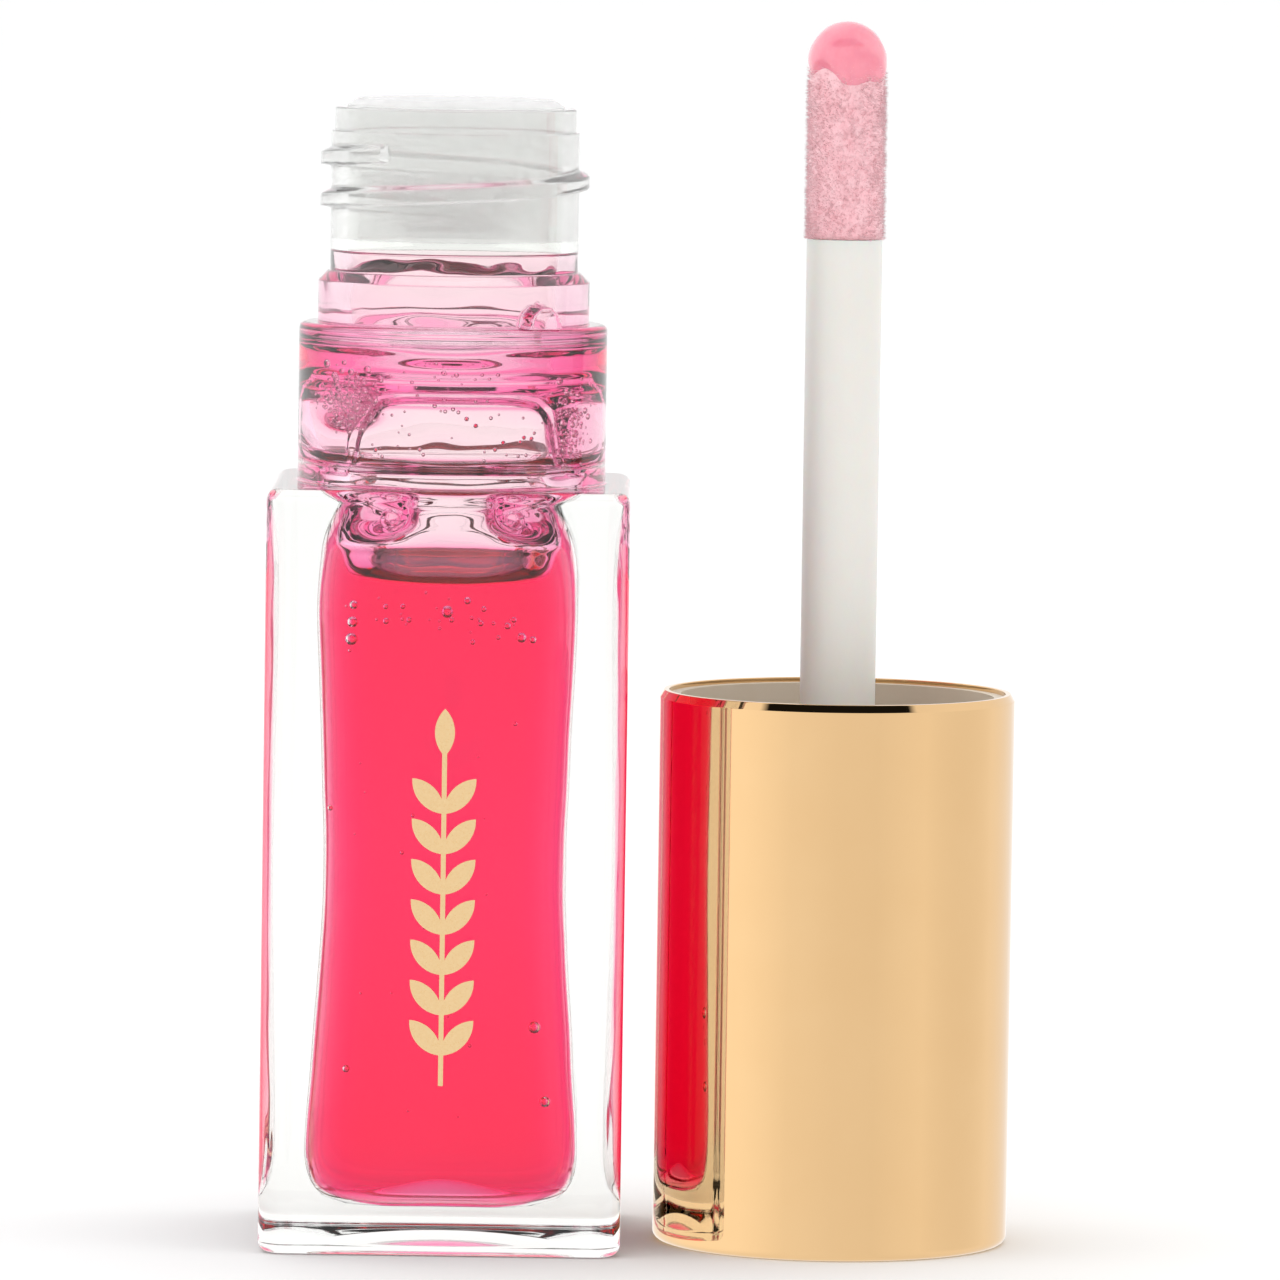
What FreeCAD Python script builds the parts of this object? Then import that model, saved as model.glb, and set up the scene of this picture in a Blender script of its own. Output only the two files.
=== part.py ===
import FreeCAD, Part
import Sketcher
import math
import os

# Lip gloss tube: a square clear bottle with its wiper and gloss, and beside it the round cap,
# standing upside down on its closed end with the wand pointing up.
# Millimetres, +Z up, -Y is the front. The bottle stands at -X and the cap at +X.

document = FreeCAD.newDocument("LipGlossTube")
sheet = document.addObject("Spreadsheet::Sheet", "Dims")

# word, value, meaning
DIMENSIONS = [
    ("bottle_x", "-10.25", "bottle axis from the middle of the pair"),
    ("cap_x", "10.35", "cap axis from the middle of the pair"),
    ("body_side", "19.0", "outer width and depth of the square body"),
    ("body_height", "40.1", "height of the square body, up to the shoulder"),
    ("body_corner", "1.4", "radius of the four upright edges"),
    ("body_edge", "0.6", "radius round the top and the bottom of the body"),
    ("base_dish_radius", "6.2", "radius of the shallow dish under the base"),
    ("base_dish_depth", "0.45", "depth of the dish under the base"),
    ("collar_radius", "8.15", "round collar above the shoulder"),
    ("collar_top", "48.5", "height of the collar's upper face"),
    ("collar_edge", "0.35", "radius round the collar's top"),
    ("tier_radius", "7.175", "ring between collar and neck"),
    ("tier_top", "51.2", "height of the ring's upper face"),
    ("tier_bevel", "0.5", "bevel round the ring's top"),
    ("neck_radius", "6.55", "neck under the thread"),
    ("neck_land", "58.6", "height where the neck steps in"),
    ("lip_radius", "6.375", "upper end of the neck"),
    ("neck_top", "59.85", "top face of the neck"),
    ("bore_radius", "5.675", "bore of the neck, a press seat for the wiper"),
    ("thread_crest", "7.1", "outer radius of the neck's thread"),
    ("thread_root", "6.4", "inner radius of the thread's profile, inside the neck wall"),
    ("thread_pitch", "2.2", "rise of the thread in one turn"),
    ("thread_turns", "1.45", "length of the thread in turns"),
    ("thread_start", "57.0", "height of the thread's upper end"),
    ("thread_end_angle", "237.6", "direction of the thread's upper end, from +X"),
    ("flank_foot", "0.04", "foot of the thread's lower flank"),
    ("flank_low", "0.12", "crest of the thread's lower flank"),
    ("flank_high", "0.76", "crest of the thread's upper flank"),
    ("flank_head", "1.12", "head of the thread's upper flank"),
    ("lug_radius", "1.1", "half width of the stop lug on the collar"),
    ("lug_height", "1.2", "height of the stop lug"),
    ("lug_angle", "38", "direction of the stop lug from the front, towards +X"),
    ("cavity_floor", "2.3", "height of the cavity's floor"),
    ("floor_dome", "0.9", "rise of the floor's middle"),
    ("floor_dome_radius", "9.0", "radius of the dome in the floor"),
    ("throat_radius", "5.75", "opening between the body's cavity and the collar"),
    ("throat_bottom", "39.0", "lower end of the throat"),
    ("collar_hollow", "7.25", "inner radius of the collar"),
    ("collar_hollow_low", "41.0", "floor of the hollow in the collar"),
    ("collar_hollow_high", "47.7", "roof of the hollow in the collar"),
    ("collar_hollow_edge", "1.0", "radius round the hollow in the collar"),
    ("gloss_top", "52.3", "height the gloss clings to in the neck"),
    ("air_bowl_radius", "5.5", "half width of the bowl in the top of the gloss"),
    ("air_bowl_half", "2.7", "depth of that bowl"),
    ("air_bowl_z", "37.6", "height of the bowl's widest level"),
    ("throat_air", "5.3", "radius of the air inside the gloss that coats the throat"),
    ("collar_air", "6.7", "radius of the air inside the gloss that coats the collar"),
    ("collar_air_low", "41.5", "lower end of the air in the collar"),
    ("collar_air_high", "45.0", "height where that air narrows under the gloss at the roof"),
    ("ring_air", "4.5", "radius of the air inside the gloss under the collar's roof"),
    ("ring_air_low", "45.8", "lower end of that narrow part"),
    ("neck_air", "5.25", "radius of the air inside the gloss that coats the neck"),
    ("neck_air_low", "48.0", "lower end of the air in the neck"),
    ("wiper_top", "60.3", "top of the wiper's rim, the bottle's highest point"),
    ("wiper_rim_radius", "5.75", "outer radius of the wiper's rim"),
    ("wiper_rim_inner", "5.2", "outer radius of the rim's bevelled top"),
    ("wiper_bore", "5.1", "inner radius of the wiper's sleeve"),
    ("wiper_sleeve_low", "52.9", "lower end of the wiper's sleeve"),
    ("wiper_bowl_low", "57.4", "height where the sleeve narrows into the funnel"),
    ("wiper_funnel_high", "56.4", "height where the funnel's underside meets the sleeve"),
    ("wiper_funnel_low", "53.4", "lower end of the wiper's funnel"),
    ("wiper_lip", "2.05", "radius of the wiping hole"),
    ("wiper_wall", "0.5", "width of the funnel's lower end round the hole"),
    ("wiper_lip_height", "0.5", "height of the wiping lip"),
    ("foil_depth", "0.03", "thickness of the foil decoration"),
    ("foil_low", "9.0", "height of the decoration's lower end"),
    ("foil_height", "19.8", "length of the decoration"),
    ("foil_stalk", "0.26", "width of the decoration's stalk"),
    ("foil_leaf_length", "2.5", "length of a leaf"),
    ("foil_leaf_radius", "1.75", "radius of the two arcs that bound a leaf"),
    ("foil_leaf_lean", "42", "angle between a leaf and the stalk"),
    ("foil_pairs", "7", "pairs of leaves"),
    ("shell_radius", "9.4", "outer radius of the cap"),
    ("shell_wall", "0.5", "wall of the cap's shell"),
    ("shell_end", "0.6", "thickness of the cap's closed end"),
    ("shell_end_edge", "0.45", "radius round the cap's closed end"),
    ("cap_height", "29.25", "height of the cap, closed end to rim"),
    ("rim_bevel", "0.4", "height of the bevel at the rim"),
    ("rim_bevel_depth", "0.22", "depth of the bevel at the rim"),
    ("liner_top", "29.0", "height of the liner's rim"),
    ("liner_collar_bore", "8.3", "bore of the liner that slides over the bottle's collar"),
    ("liner_collar_low", "20.6", "lower end of that bore"),
    ("liner_tier_bore", "7.4", "bore of the liner that takes the ring"),
    ("liner_tier_low", "17.9", "lower end of that bore"),
    ("liner_neck_bore", "7.25", "bore of the liner that takes the neck"),
    ("liner_plate_high", "9.0", "face that closes on the wiper's rim"),
    ("liner_plate_low", "7.8", "underside of that plate"),
    ("liner_low", "3.2", "lower end of the liner"),
    ("liner_skirt_bore", "8.1", "inner radius of the liner's lower skirt"),
    ("inner_thread_crest", "6.75", "radius of the liner's thread crest"),
    ("inner_thread_root", "7.4", "radius inside the liner's wall where its thread starts"),
    ("inner_thread_low", "12.0", "lower end of the liner's thread"),
    ("inner_thread_turns", "1.4", "length of the liner's thread in turns"),
    ("hub_radius", "3.3", "outer radius of the socket that holds the stem"),
    ("hub_boss", "10.0", "height of the socket's boss above the plate"),
    ("rib_count", "8", "ribs between the socket and the skirt"),
    ("rib_thickness", "0.7", "thickness of a rib"),
    ("weight_low", "0.65", "underside of the weight"),
    ("weight_high", "3.15", "upper face of the weight"),
    ("weight_radius", "8.84", "radius of the weight"),
    ("weight_edge", "0.3", "bevel of the weight's edges"),
    ("stem_radius", "2.0", "radius of the wand's stem"),
    ("stem_low", "3.4", "stem's end in its socket"),
    ("bead_radius", "2.2", "radius of the stem's snap bead"),
    ("bead_low", "4.6", "lower side of the snap bead"),
    ("bead_high", "5.4", "upper side of the snap bead"),
    ("stem_top", "53.2", "height where the applicator starts"),
    ("peg_radius", "1.1", "radius of the peg that carries the applicator"),
    ("peg_top", "58.2", "upper end of the peg"),
    ("tip_centre", "62.5", "centre of the applicator's round tip"),
    ("core_radius", "1.7", "radius of the applicator's core"),
    ("flock_radius", "2.1", "radius over the flocking"),
    ("coat_radius", "2.2", "radius over the wet gloss on the tip"),
    ("coat_low", "60.6", "lower edge of the wet gloss"),
]

for row, (word, value, meaning) in enumerate(DIMENSIONS, start=1):
    sheet.set("A%d" % row, word)
    sheet.set("B%d" % row, value)
    sheet.set("C%d" % row, meaning)
    sheet.setAlias("B%d" % row, word)
document.recompute()


def size(word):
    """The number behind a word of the sheet."""
    return float(sheet.get(word))


def bind(feature, expressions):
    """Drive a feature's properties from the sheet."""
    for name, expression in expressions.items():
        feature.setExpression(name, expression)
    return feature


def label(feature, text):
    feature.Label = text
    return feature


def tier(text, axis, low_radius, high_radius, low, high):
    """A cylinder or a cone that stands on an axis between two heights."""
    kind = "Part::Cylinder" if low_radius == high_radius else "Part::Cone"
    feature = document.addObject(kind, text)
    place = {
        "Placement.Base.x": axis,
        "Placement.Base.z": low,
        "Height": "(%s) - (%s)" % (high, low),
    }
    bind(feature, place)
    if kind == "Part::Cylinder":
        return bind(feature, {"Radius": low_radius})
    return bind(feature, {"Radius1": low_radius, "Radius2": high_radius})


def ball(text, axis, radius, height):
    feature = document.addObject("Part::Sphere", text)
    return bind(
        feature,
        {
            "Placement.Base.x": axis,
            "Placement.Base.z": height,
            "Radius": radius,
        },
    )


def fused(text, features):
    feature = document.addObject("Part::MultiFuse", text)
    feature.Shapes = features
    feature.Refine = True
    return feature


def cut(text, base, tool):
    feature = document.addObject("Part::Cut", text)
    feature.Base = base
    feature.Tool = tool
    feature.Refine = True
    return feature


def shared(text, first, second):
    feature = document.addObject("Part::Common", text)
    feature.Base = first
    feature.Tool = second
    return feature


def rounded(text, base, radius, chosen):
    """Round those edges of a feature that a test chooses."""
    document.recompute()
    feature = document.addObject("Part::Fillet", text)
    feature.Base = base
    numbers = [i for i, edge in enumerate(base.Shape.Edges, start=1) if chosen(edge)]
    feature.Edges = [(i, radius, radius) for i in numbers]
    document.recompute()
    return feature


def bevelled(text, base, radius, chosen):
    """Bevel those edges of a feature that a test chooses."""
    document.recompute()
    feature = document.addObject("Part::Chamfer", text)
    feature.Base = base
    numbers = [i for i, edge in enumerate(base.Shape.Edges, start=1) if chosen(edge)]
    feature.Edges = [(i, radius, radius) for i in numbers]
    document.recompute()
    return feature


def upright(edge):
    first, last = (v.Point for v in (edge.Vertexes[0], edge.Vertexes[-1]))
    return abs(first.x - last.x) < 0.01 and abs(first.y - last.y) < 0.01 < abs(first.z - last.z)


def level_at(height):
    """A test for edges that lie flat at a height."""

    def chosen(edge):
        box = edge.BoundBox
        return abs(box.ZMin - height) < 0.01 and abs(box.ZMax - height) < 0.01

    return chosen


def rounded_square(text, side, corner, height):
    """A square with round corners, drawn level at a height; side and corner are numbers of mm."""
    sketch = document.addObject("Sketcher::SketchObject", text)
    half = side / 2
    inner = half - corner
    for turn in range(4):
        angle = turn * math.pi / 2
        spin = FreeCAD.Rotation(FreeCAD.Vector(0, 0, 1), math.degrees(angle))
        start = spin.multVec(FreeCAD.Vector(-inner, -half, 0))
        end = spin.multVec(FreeCAD.Vector(inner, -half, 0))
        centre = spin.multVec(FreeCAD.Vector(inner, -inner, 0))
        sketch.addGeometry(Part.LineSegment(start, end), False)
        circle = Part.Circle(centre, FreeCAD.Vector(0, 0, 1), corner)
        sketch.addGeometry(Part.ArcOfCircle(circle, angle - math.pi / 2, angle), False)
    for piece in range(0, 8, 2):
        sketch.addConstraint(Sketcher.Constraint("Tangent", piece, 2, piece + 1, 1))
        sketch.addConstraint(Sketcher.Constraint("Tangent", piece + 1, 2, (piece + 2) % 8, 1))
    sketch.addConstraint(Sketcher.Constraint("Horizontal", 0))
    sketch.addConstraint(Sketcher.Constraint("Vertical", 2))
    sketch.addConstraint(Sketcher.Constraint("Equal", 0, 2))
    sketch.addConstraint(Sketcher.Constraint("Equal", 1, 3))
    sketch.addConstraint(Sketcher.Constraint("Equal", 1, 5))
    sketch.addConstraint(Sketcher.Constraint("Symmetric", 0, 1, 4, 1, -1, 1))
    radius = sketch.addConstraint(Sketcher.Constraint("Radius", 1, corner))
    width = sketch.addConstraint(Sketcher.Constraint("DistanceX", 6, 1, 2, 1, side))
    sketch.renameConstraint(radius, "corner")
    sketch.renameConstraint(width, "side")
    sketch.Placement.Base = FreeCAD.Vector(size("bottle_x"), 0, height)
    return bind(sketch, {"Placement.Base.x": "Dims.bottle_x"})


def flank_profile(text, corners):
    """The thread's section, drawn upright; each corner is a pair of words: radius and height."""
    sketch = document.addObject("Sketcher::SketchObject", text)
    sketch.Placement = FreeCAD.Placement(
        FreeCAD.Vector(0, 0, 0), FreeCAD.Rotation(FreeCAD.Vector(1, 0, 0), 90)
    )
    points = [FreeCAD.Vector(size(across), size(up), 0) for across, up in corners]
    for first, second in zip(points, points[1:] + points[:1]):
        sketch.addGeometry(Part.LineSegment(first, second), False)
    for number, (across, up) in enumerate(corners):
        before = (number - 1) % len(corners)
        sketch.addConstraint(Sketcher.Constraint("Coincident", before, 2, number, 1))
        wide = sketch.addConstraint(
            Sketcher.Constraint("DistanceX", -1, 1, number, 1, size(across))
        )
        high = sketch.addConstraint(Sketcher.Constraint("DistanceY", -1, 1, number, 1, size(up)))
        sketch.renameConstraint(wide, "across%d" % number)
        sketch.renameConstraint(high, "up%d" % number)
        sketch.setExpression("Constraints.across%d" % number, "Dims.%s" % across)
        sketch.setExpression("Constraints.up%d" % number, "Dims.%s" % up)
    return sketch


def thread(text, corners, turns, axis, low, angle):
    """A right-hand thread: a section swept along a helix, then turned and lifted into place."""
    path = document.addObject("Part::Helix", text + "_path")
    path.LocalCoord = "Right-handed"
    bind(
        path,
        {
            "Pitch": "Dims.thread_pitch",
            "Height": "Dims.thread_pitch * %s" % turns,
            "Radius": "Dims.%s" % corners[0][0],
        },
    )
    sweep = document.addObject("Part::Sweep", text)
    sweep.Sections = [flank_profile(text + "_section", corners)]
    sweep.Spine = (path, [])
    sweep.Solid = True
    sweep.Frenet = True
    return bind(
        sweep,
        {
            "Placement.Base.x": axis,
            "Placement.Base.z": low,
            "Placement.Rotation.Angle": angle,
        },
    )


# ---- bottle ------------------------------------------------------------------------------------

BOTTLE = "Dims.bottle_x"

block = document.addObject("Part::Box", "body_block")
bind(
    block,
    {
        "Length": "Dims.body_side",
        "Width": "Dims.body_side",
        "Height": "Dims.body_height",
        "Placement.Base.x": "Dims.bottle_x - Dims.body_side / 2",
        "Placement.Base.y": "-Dims.body_side / 2",
    },
)
square_body = rounded("body_upright_edges", block, size("body_corner"), upright)
ends = (level_at(0), level_at(size("body_height")))
square_body = rounded(
    "body_level_edges",
    square_body,
    size("body_edge"),
    lambda edge: any(test(edge) for test in ends),
)

collar = tier(
    "collar",
    BOTTLE,
    "Dims.collar_radius",
    "Dims.collar_radius",
    "Dims.body_height - 1",
    "Dims.collar_top",
)
collar = rounded("collar_top_edge", collar, size("collar_edge"), level_at(size("collar_top")))
neck_tiers = [
    ("ring", "Dims.tier_radius", "Dims.tier_radius", "Dims.collar_top", "Dims.tier_top - Dims.tier_bevel"),
    (
        "ring_bevel",
        "Dims.tier_radius",
        "Dims.tier_radius - Dims.tier_bevel",
        "Dims.tier_top - Dims.tier_bevel",
        "Dims.tier_top",
    ),
    ("neck", "Dims.neck_radius", "Dims.neck_radius", "Dims.tier_top", "Dims.neck_land"),
    ("neck_lip", "Dims.lip_radius", "Dims.lip_radius", "Dims.neck_land", "Dims.neck_top"),
]
neck_parts = [tier(name, BOTTLE, *rest) for name, *rest in neck_tiers]

neck_thread = thread(
    "neck_thread",
    [
        ("thread_root", "flank_foot"),
        ("thread_crest", "flank_low"),
        ("thread_crest", "flank_high"),
        ("thread_root", "flank_head"),
    ],
    "Dims.thread_turns",
    BOTTLE,
    "Dims.thread_start - Dims.thread_pitch * Dims.thread_turns",
    "Dims.thread_end_angle - 360 * Dims.thread_turns",
)

lug_post = document.addObject("Part::Cylinder", "lug_post")
lug_post.Placement.Rotation = FreeCAD.Rotation(size("lug_angle"), 0, 90)
bind(
    lug_post,
    {
        "Radius": "Dims.lug_radius",
        "Height": "Dims.collar_radius",
        "Placement.Base.x": BOTTLE,
        "Placement.Base.z": "Dims.collar_top + Dims.lug_height - Dims.lug_radius",
    },
)
lug_zone = tier(
    "lug_zone",
    BOTTLE,
    "Dims.collar_radius",
    "Dims.collar_radius",
    "Dims.collar_top - 0.2",
    "Dims.collar_top + 2 * Dims.lug_height",
)
lug_core = tier(
    "lug_core",
    BOTTLE,
    "Dims.tier_radius - 0.2",
    "Dims.tier_radius - 0.2",
    "Dims.collar_top - 0.4",
    "Dims.collar_top + 3 * Dims.lug_height",
)
lug = cut("lug", shared("lug_length", lug_post, lug_zone), lug_core)

outside = fused("bottle_outside", [square_body, collar, lug, neck_thread] + neck_parts)

# The cavity's height above the table, side and corner radius in millimetres, from its floor up.
CAVITY = [
    (2.3, 10.6, 3.0),
    (2.75, 12.6, 3.2),
    (3.9, 13.9, 3.3),
    (5.6, 14.2, 3.3),
    (11.0, 13.6, 3.2),
    (19.0, 12.7, 3.1),
    (27.0, 13.1, 3.1),
    (33.5, 13.6, 3.3),
    (37.0, 13.2, 4.2),
    (39.0, 11.7, 5.4),
]
sections = [
    rounded_square("cavity_%02d" % number, side, corner, height)
    for number, (height, side, corner) in enumerate(CAVITY)
]
cavity = document.addObject("Part::Loft", "body_cavity")
cavity.Sections = sections
cavity.Solid = True
cavity.Ruled = False
dome = ball(
    "floor_dome_ball",
    BOTTLE,
    "Dims.floor_dome_radius",
    "Dims.cavity_floor + Dims.floor_dome - Dims.floor_dome_radius",
)
cavity = cut("domed_cavity", cavity, dome)
throat = tier(
    "throat",
    BOTTLE,
    "Dims.throat_radius",
    "Dims.throat_radius",
    "Dims.throat_bottom - 0.2",
    "Dims.collar_hollow_low + 1",
)
hollow = tier(
    "collar_hollow",
    BOTTLE,
    "Dims.collar_hollow",
    "Dims.collar_hollow",
    "Dims.collar_hollow_low",
    "Dims.collar_hollow_high",
)
hollow_ends = (level_at(size("collar_hollow_low")), level_at(size("collar_hollow_high")))
hollow = rounded(
    "collar_hollow_edges",
    hollow,
    size("collar_hollow_edge"),
    lambda edge: any(test(edge) for test in hollow_ends),
)
bore = tier(
    "neck_bore",
    BOTTLE,
    "Dims.bore_radius",
    "Dims.bore_radius",
    "Dims.collar_hollow_high - 1",
    "Dims.neck_top + 1",
)
dish = ball(
    "base_dish",
    BOTTLE,
    "(Dims.base_dish_radius ^ 2 + Dims.base_dish_depth ^ 2) / (2 * Dims.base_dish_depth)",
    "Dims.base_dish_depth"
    " - (Dims.base_dish_radius ^ 2 + Dims.base_dish_depth ^ 2) / (2 * Dims.base_dish_depth)",
)
inside = fused("bottle_inside", [cavity, throat, hollow, bore])
bottle = label(cut("bottle_body", cut("bottle_on_dish", outside, dish), inside), "bottle")

# ---- gloss, which fills the body and coats the walls of the throat, the collar and the neck ---------

clinging = tier(
    "gloss_in_neck",
    BOTTLE,
    "Dims.bore_radius",
    "Dims.bore_radius",
    "Dims.collar_hollow_high - 1",
    "Dims.gloss_top",
)
bowl = document.addObject("Part::Ellipsoid", "air_bowl")
bind(
    bowl,
    {
        "Radius1": "Dims.air_bowl_half",
        "Radius2": "Dims.air_bowl_radius",
        "Radius3": "Dims.air_bowl_radius",
        "Placement.Base.x": BOTTLE,
        "Placement.Base.z": "Dims.air_bowl_z",
    },
)
air_steps = [
    ("throat", "Dims.throat_air", "Dims.throat_air", "Dims.air_bowl_z", "Dims.collar_air_low"),
    ("collar", "Dims.collar_air", "Dims.collar_air", "Dims.collar_air_low", "Dims.collar_air_high"),
    ("roof", "Dims.collar_air", "Dims.ring_air", "Dims.collar_air_high", "Dims.ring_air_low"),
    ("ring", "Dims.ring_air", "Dims.ring_air", "Dims.ring_air_low", "Dims.neck_air_low"),
    ("neck", "Dims.neck_air", "Dims.neck_air", "Dims.neck_air_low", "Dims.gloss_top + 1"),
]
air_tiers = [tier("air_in_" + name, BOTTLE, *rest) for name, *rest in air_steps]
mass = fused("gloss_mass", [cavity, throat, hollow, clinging])
air = fused("air_in_gloss", [bowl] + air_tiers)
gloss = label(cut("gloss_body", mass, air), "gloss_fill")

# ---- wiper -------------------------------------------------------------------------------------

wiper_outer = [
    (
        "wiper_rim_foot",
        "Dims.wiper_rim_radius",
        "Dims.wiper_rim_radius",
        "Dims.neck_top",
        "Dims.neck_top + 0.1",
    ),
    (
        "wiper_rim_bevel",
        "Dims.wiper_rim_radius",
        "Dims.wiper_rim_inner",
        "Dims.neck_top + 0.1",
        "Dims.wiper_top",
    ),
    (
        "wiper_sleeve",
        "Dims.bore_radius",
        "Dims.bore_radius",
        "Dims.wiper_sleeve_low",
        "Dims.neck_top",
    ),
]
wiper_inner = [
    (
        "wiper_bowl",
        "Dims.wiper_bore",
        "Dims.wiper_bore",
        "Dims.wiper_bowl_low",
        "Dims.wiper_top + 1",
    ),
    (
        "wiper_funnel",
        "Dims.wiper_lip",
        "Dims.wiper_bore",
        "Dims.wiper_funnel_low + Dims.wiper_lip_height",
        "Dims.wiper_bowl_low",
    ),
    (
        "wiper_hole",
        "Dims.wiper_lip",
        "Dims.wiper_lip",
        "Dims.wiper_sleeve_low - 1",
        "Dims.wiper_funnel_low + Dims.wiper_lip_height + 0.2",
    ),
]
wiper_room = tier(
    "wiper_room",
    BOTTLE,
    "Dims.wiper_bore",
    "Dims.wiper_bore",
    "Dims.wiper_sleeve_low - 1",
    "Dims.wiper_funnel_high",
)
wiper_underside = tier(
    "wiper_underside",
    BOTTLE,
    "Dims.wiper_lip + Dims.wiper_wall",
    "Dims.wiper_bore",
    "Dims.wiper_funnel_low",
    "Dims.wiper_funnel_high",
)
room_round_funnel = cut("room_round_funnel", wiper_room, wiper_underside)
wiper_inside = [tier(name, BOTTLE, *rest) for name, *rest in wiper_inner]
wiper = cut(
    "wiper_body",
    fused("wiper_outside", [tier(name, BOTTLE, *rest) for name, *rest in wiper_outer]),
    fused("wiper_inside", wiper_inside + [room_round_funnel]),
)
label(wiper, "wiper")

# ---- foil decoration: a leafy sprig on the front ----------------------------------------------------

FRONT = "-Dims.body_side / 2"


def disc_on_front(text, radius, across, up):
    """A round of foil on the front face, its centre a way across from the axis and up."""
    feature = document.addObject("Part::Cylinder", text)
    feature.Placement.Rotation = FreeCAD.Rotation(FreeCAD.Vector(1, 0, 0), 90)
    return bind(
        feature,
        {
            "Radius": radius,
            "Height": "Dims.foil_depth",
            "Placement.Base.x": "Dims.bottle_x + (%s)" % across,
            "Placement.Base.y": FRONT,
            "Placement.Base.z": up,
        },
    )


def leaf(text, up, lean):
    """A pointed leaf that grows from the stalk: what two rounds of foil share."""
    half = "(Dims.foil_leaf_length / 2)"
    inset = "sqrt(Dims.foil_leaf_radius ^ 2 - %s ^ 2)" % half
    rounds = []
    for side in (-1, 1):
        across = "%s * sin(%s) + %d * %s * cos(%s)" % (half, lean, side, inset, lean)
        lift = "%s + %s * cos(%s) - %d * %s * sin(%s)" % (up, half, lean, side, inset, lean)
        rounds.append(
            disc_on_front("%s_round_%d" % (text, (side + 1) // 2), "Dims.foil_leaf_radius", across, lift)
        )
    return shared(text, *rounds)


stalk = document.addObject("Part::Box", "sprig_stalk")
bind(
    stalk,
    {
        "Length": "Dims.foil_stalk",
        "Width": "Dims.foil_depth",
        "Height": "Dims.foil_height - Dims.foil_leaf_length + 0.4",
        "Placement.Base.x": "Dims.bottle_x - Dims.foil_stalk / 2",
        "Placement.Base.y": FRONT + " - Dims.foil_depth",
        "Placement.Base.z": "Dims.foil_low",
    },
)
sprig_parts = [stalk]
pairs = int(size("foil_pairs"))
for pair in range(pairs):
    up = "Dims.foil_low + 1.6 + %d * (Dims.foil_height - 5.0) / Dims.foil_pairs" % pair
    for side, lean in (("left", "(-Dims.foil_leaf_lean)"), ("right", "Dims.foil_leaf_lean")):
        sprig_parts.append(leaf("leaf_%d_%s" % (pair, side), up, lean))
sprig_parts.append(leaf("leaf_top", "Dims.foil_low + Dims.foil_height - Dims.foil_leaf_length", "0"))
sprig = label(fused("sprig", sprig_parts), "foil_sprig")

# ---- cap shell -------------------------------------------------------------------------------------

CAP = "Dims.cap_x"

shell_outside = tier(
    "shell_outside", CAP, "Dims.shell_radius", "Dims.shell_radius", "0", "Dims.cap_height - Dims.rim_bevel"
)
shell_outside = rounded("shell_end_edge", shell_outside, size("shell_end_edge"), level_at(0))
shell_rim = tier(
    "shell_rim",
    CAP,
    "Dims.shell_radius",
    "Dims.shell_radius - Dims.rim_bevel_depth",
    "Dims.cap_height - Dims.rim_bevel",
    "Dims.cap_height",
)
shell_inside = tier(
    "shell_inside",
    CAP,
    "Dims.shell_radius - Dims.shell_wall",
    "Dims.shell_radius - Dims.shell_wall",
    "Dims.shell_end",
    "Dims.cap_height + 1",
)
shell = cut("shell_body", fused("shell_solid", [shell_outside, shell_rim]), shell_inside)
label(shell, "cap_shell")

# ---- inner cap: liner, thread, plate and stem socket ------------------------------------------------

liner_outside = tier(
    "liner_outside",
    CAP,
    "Dims.shell_radius - Dims.shell_wall",
    "Dims.shell_radius - Dims.shell_wall",
    "Dims.liner_low",
    "Dims.liner_top",
)
liner_bores = [
    ("collar_bore", "Dims.liner_collar_bore", "Dims.liner_collar_low", "Dims.liner_top + 1"),
    ("tier_bore", "Dims.liner_tier_bore", "Dims.liner_tier_low", "Dims.liner_collar_low + 0.5"),
    ("screw_bore", "Dims.liner_neck_bore", "Dims.liner_plate_high", "Dims.liner_tier_low + 0.5"),
    ("skirt_bore", "Dims.liner_skirt_bore", "Dims.liner_low - 1", "Dims.liner_plate_low"),
]
liner_inside = fused(
    "liner_inside",
    [tier(name, CAP, radius, radius, low, high) for name, radius, low, high in liner_bores[:3]],
)
liner = cut("liner_cup", liner_outside, liner_inside)
name, radius, low, high = liner_bores[3]
liner = cut("liner_skirt", liner, tier(name, CAP, radius, radius, low, high))
inner_thread = thread(
    "inner_thread",
    [
        ("inner_thread_root", "flank_foot"),
        ("inner_thread_crest", "flank_low"),
        ("inner_thread_crest", "flank_high"),
        ("inner_thread_root", "flank_head"),
    ],
    "Dims.inner_thread_turns",
    CAP,
    "Dims.inner_thread_low",
    "20",
)
hub = tier("stem_hub", CAP, "Dims.hub_radius", "Dims.hub_radius", "Dims.liner_low", "Dims.hub_boss")
ribs = []
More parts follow.
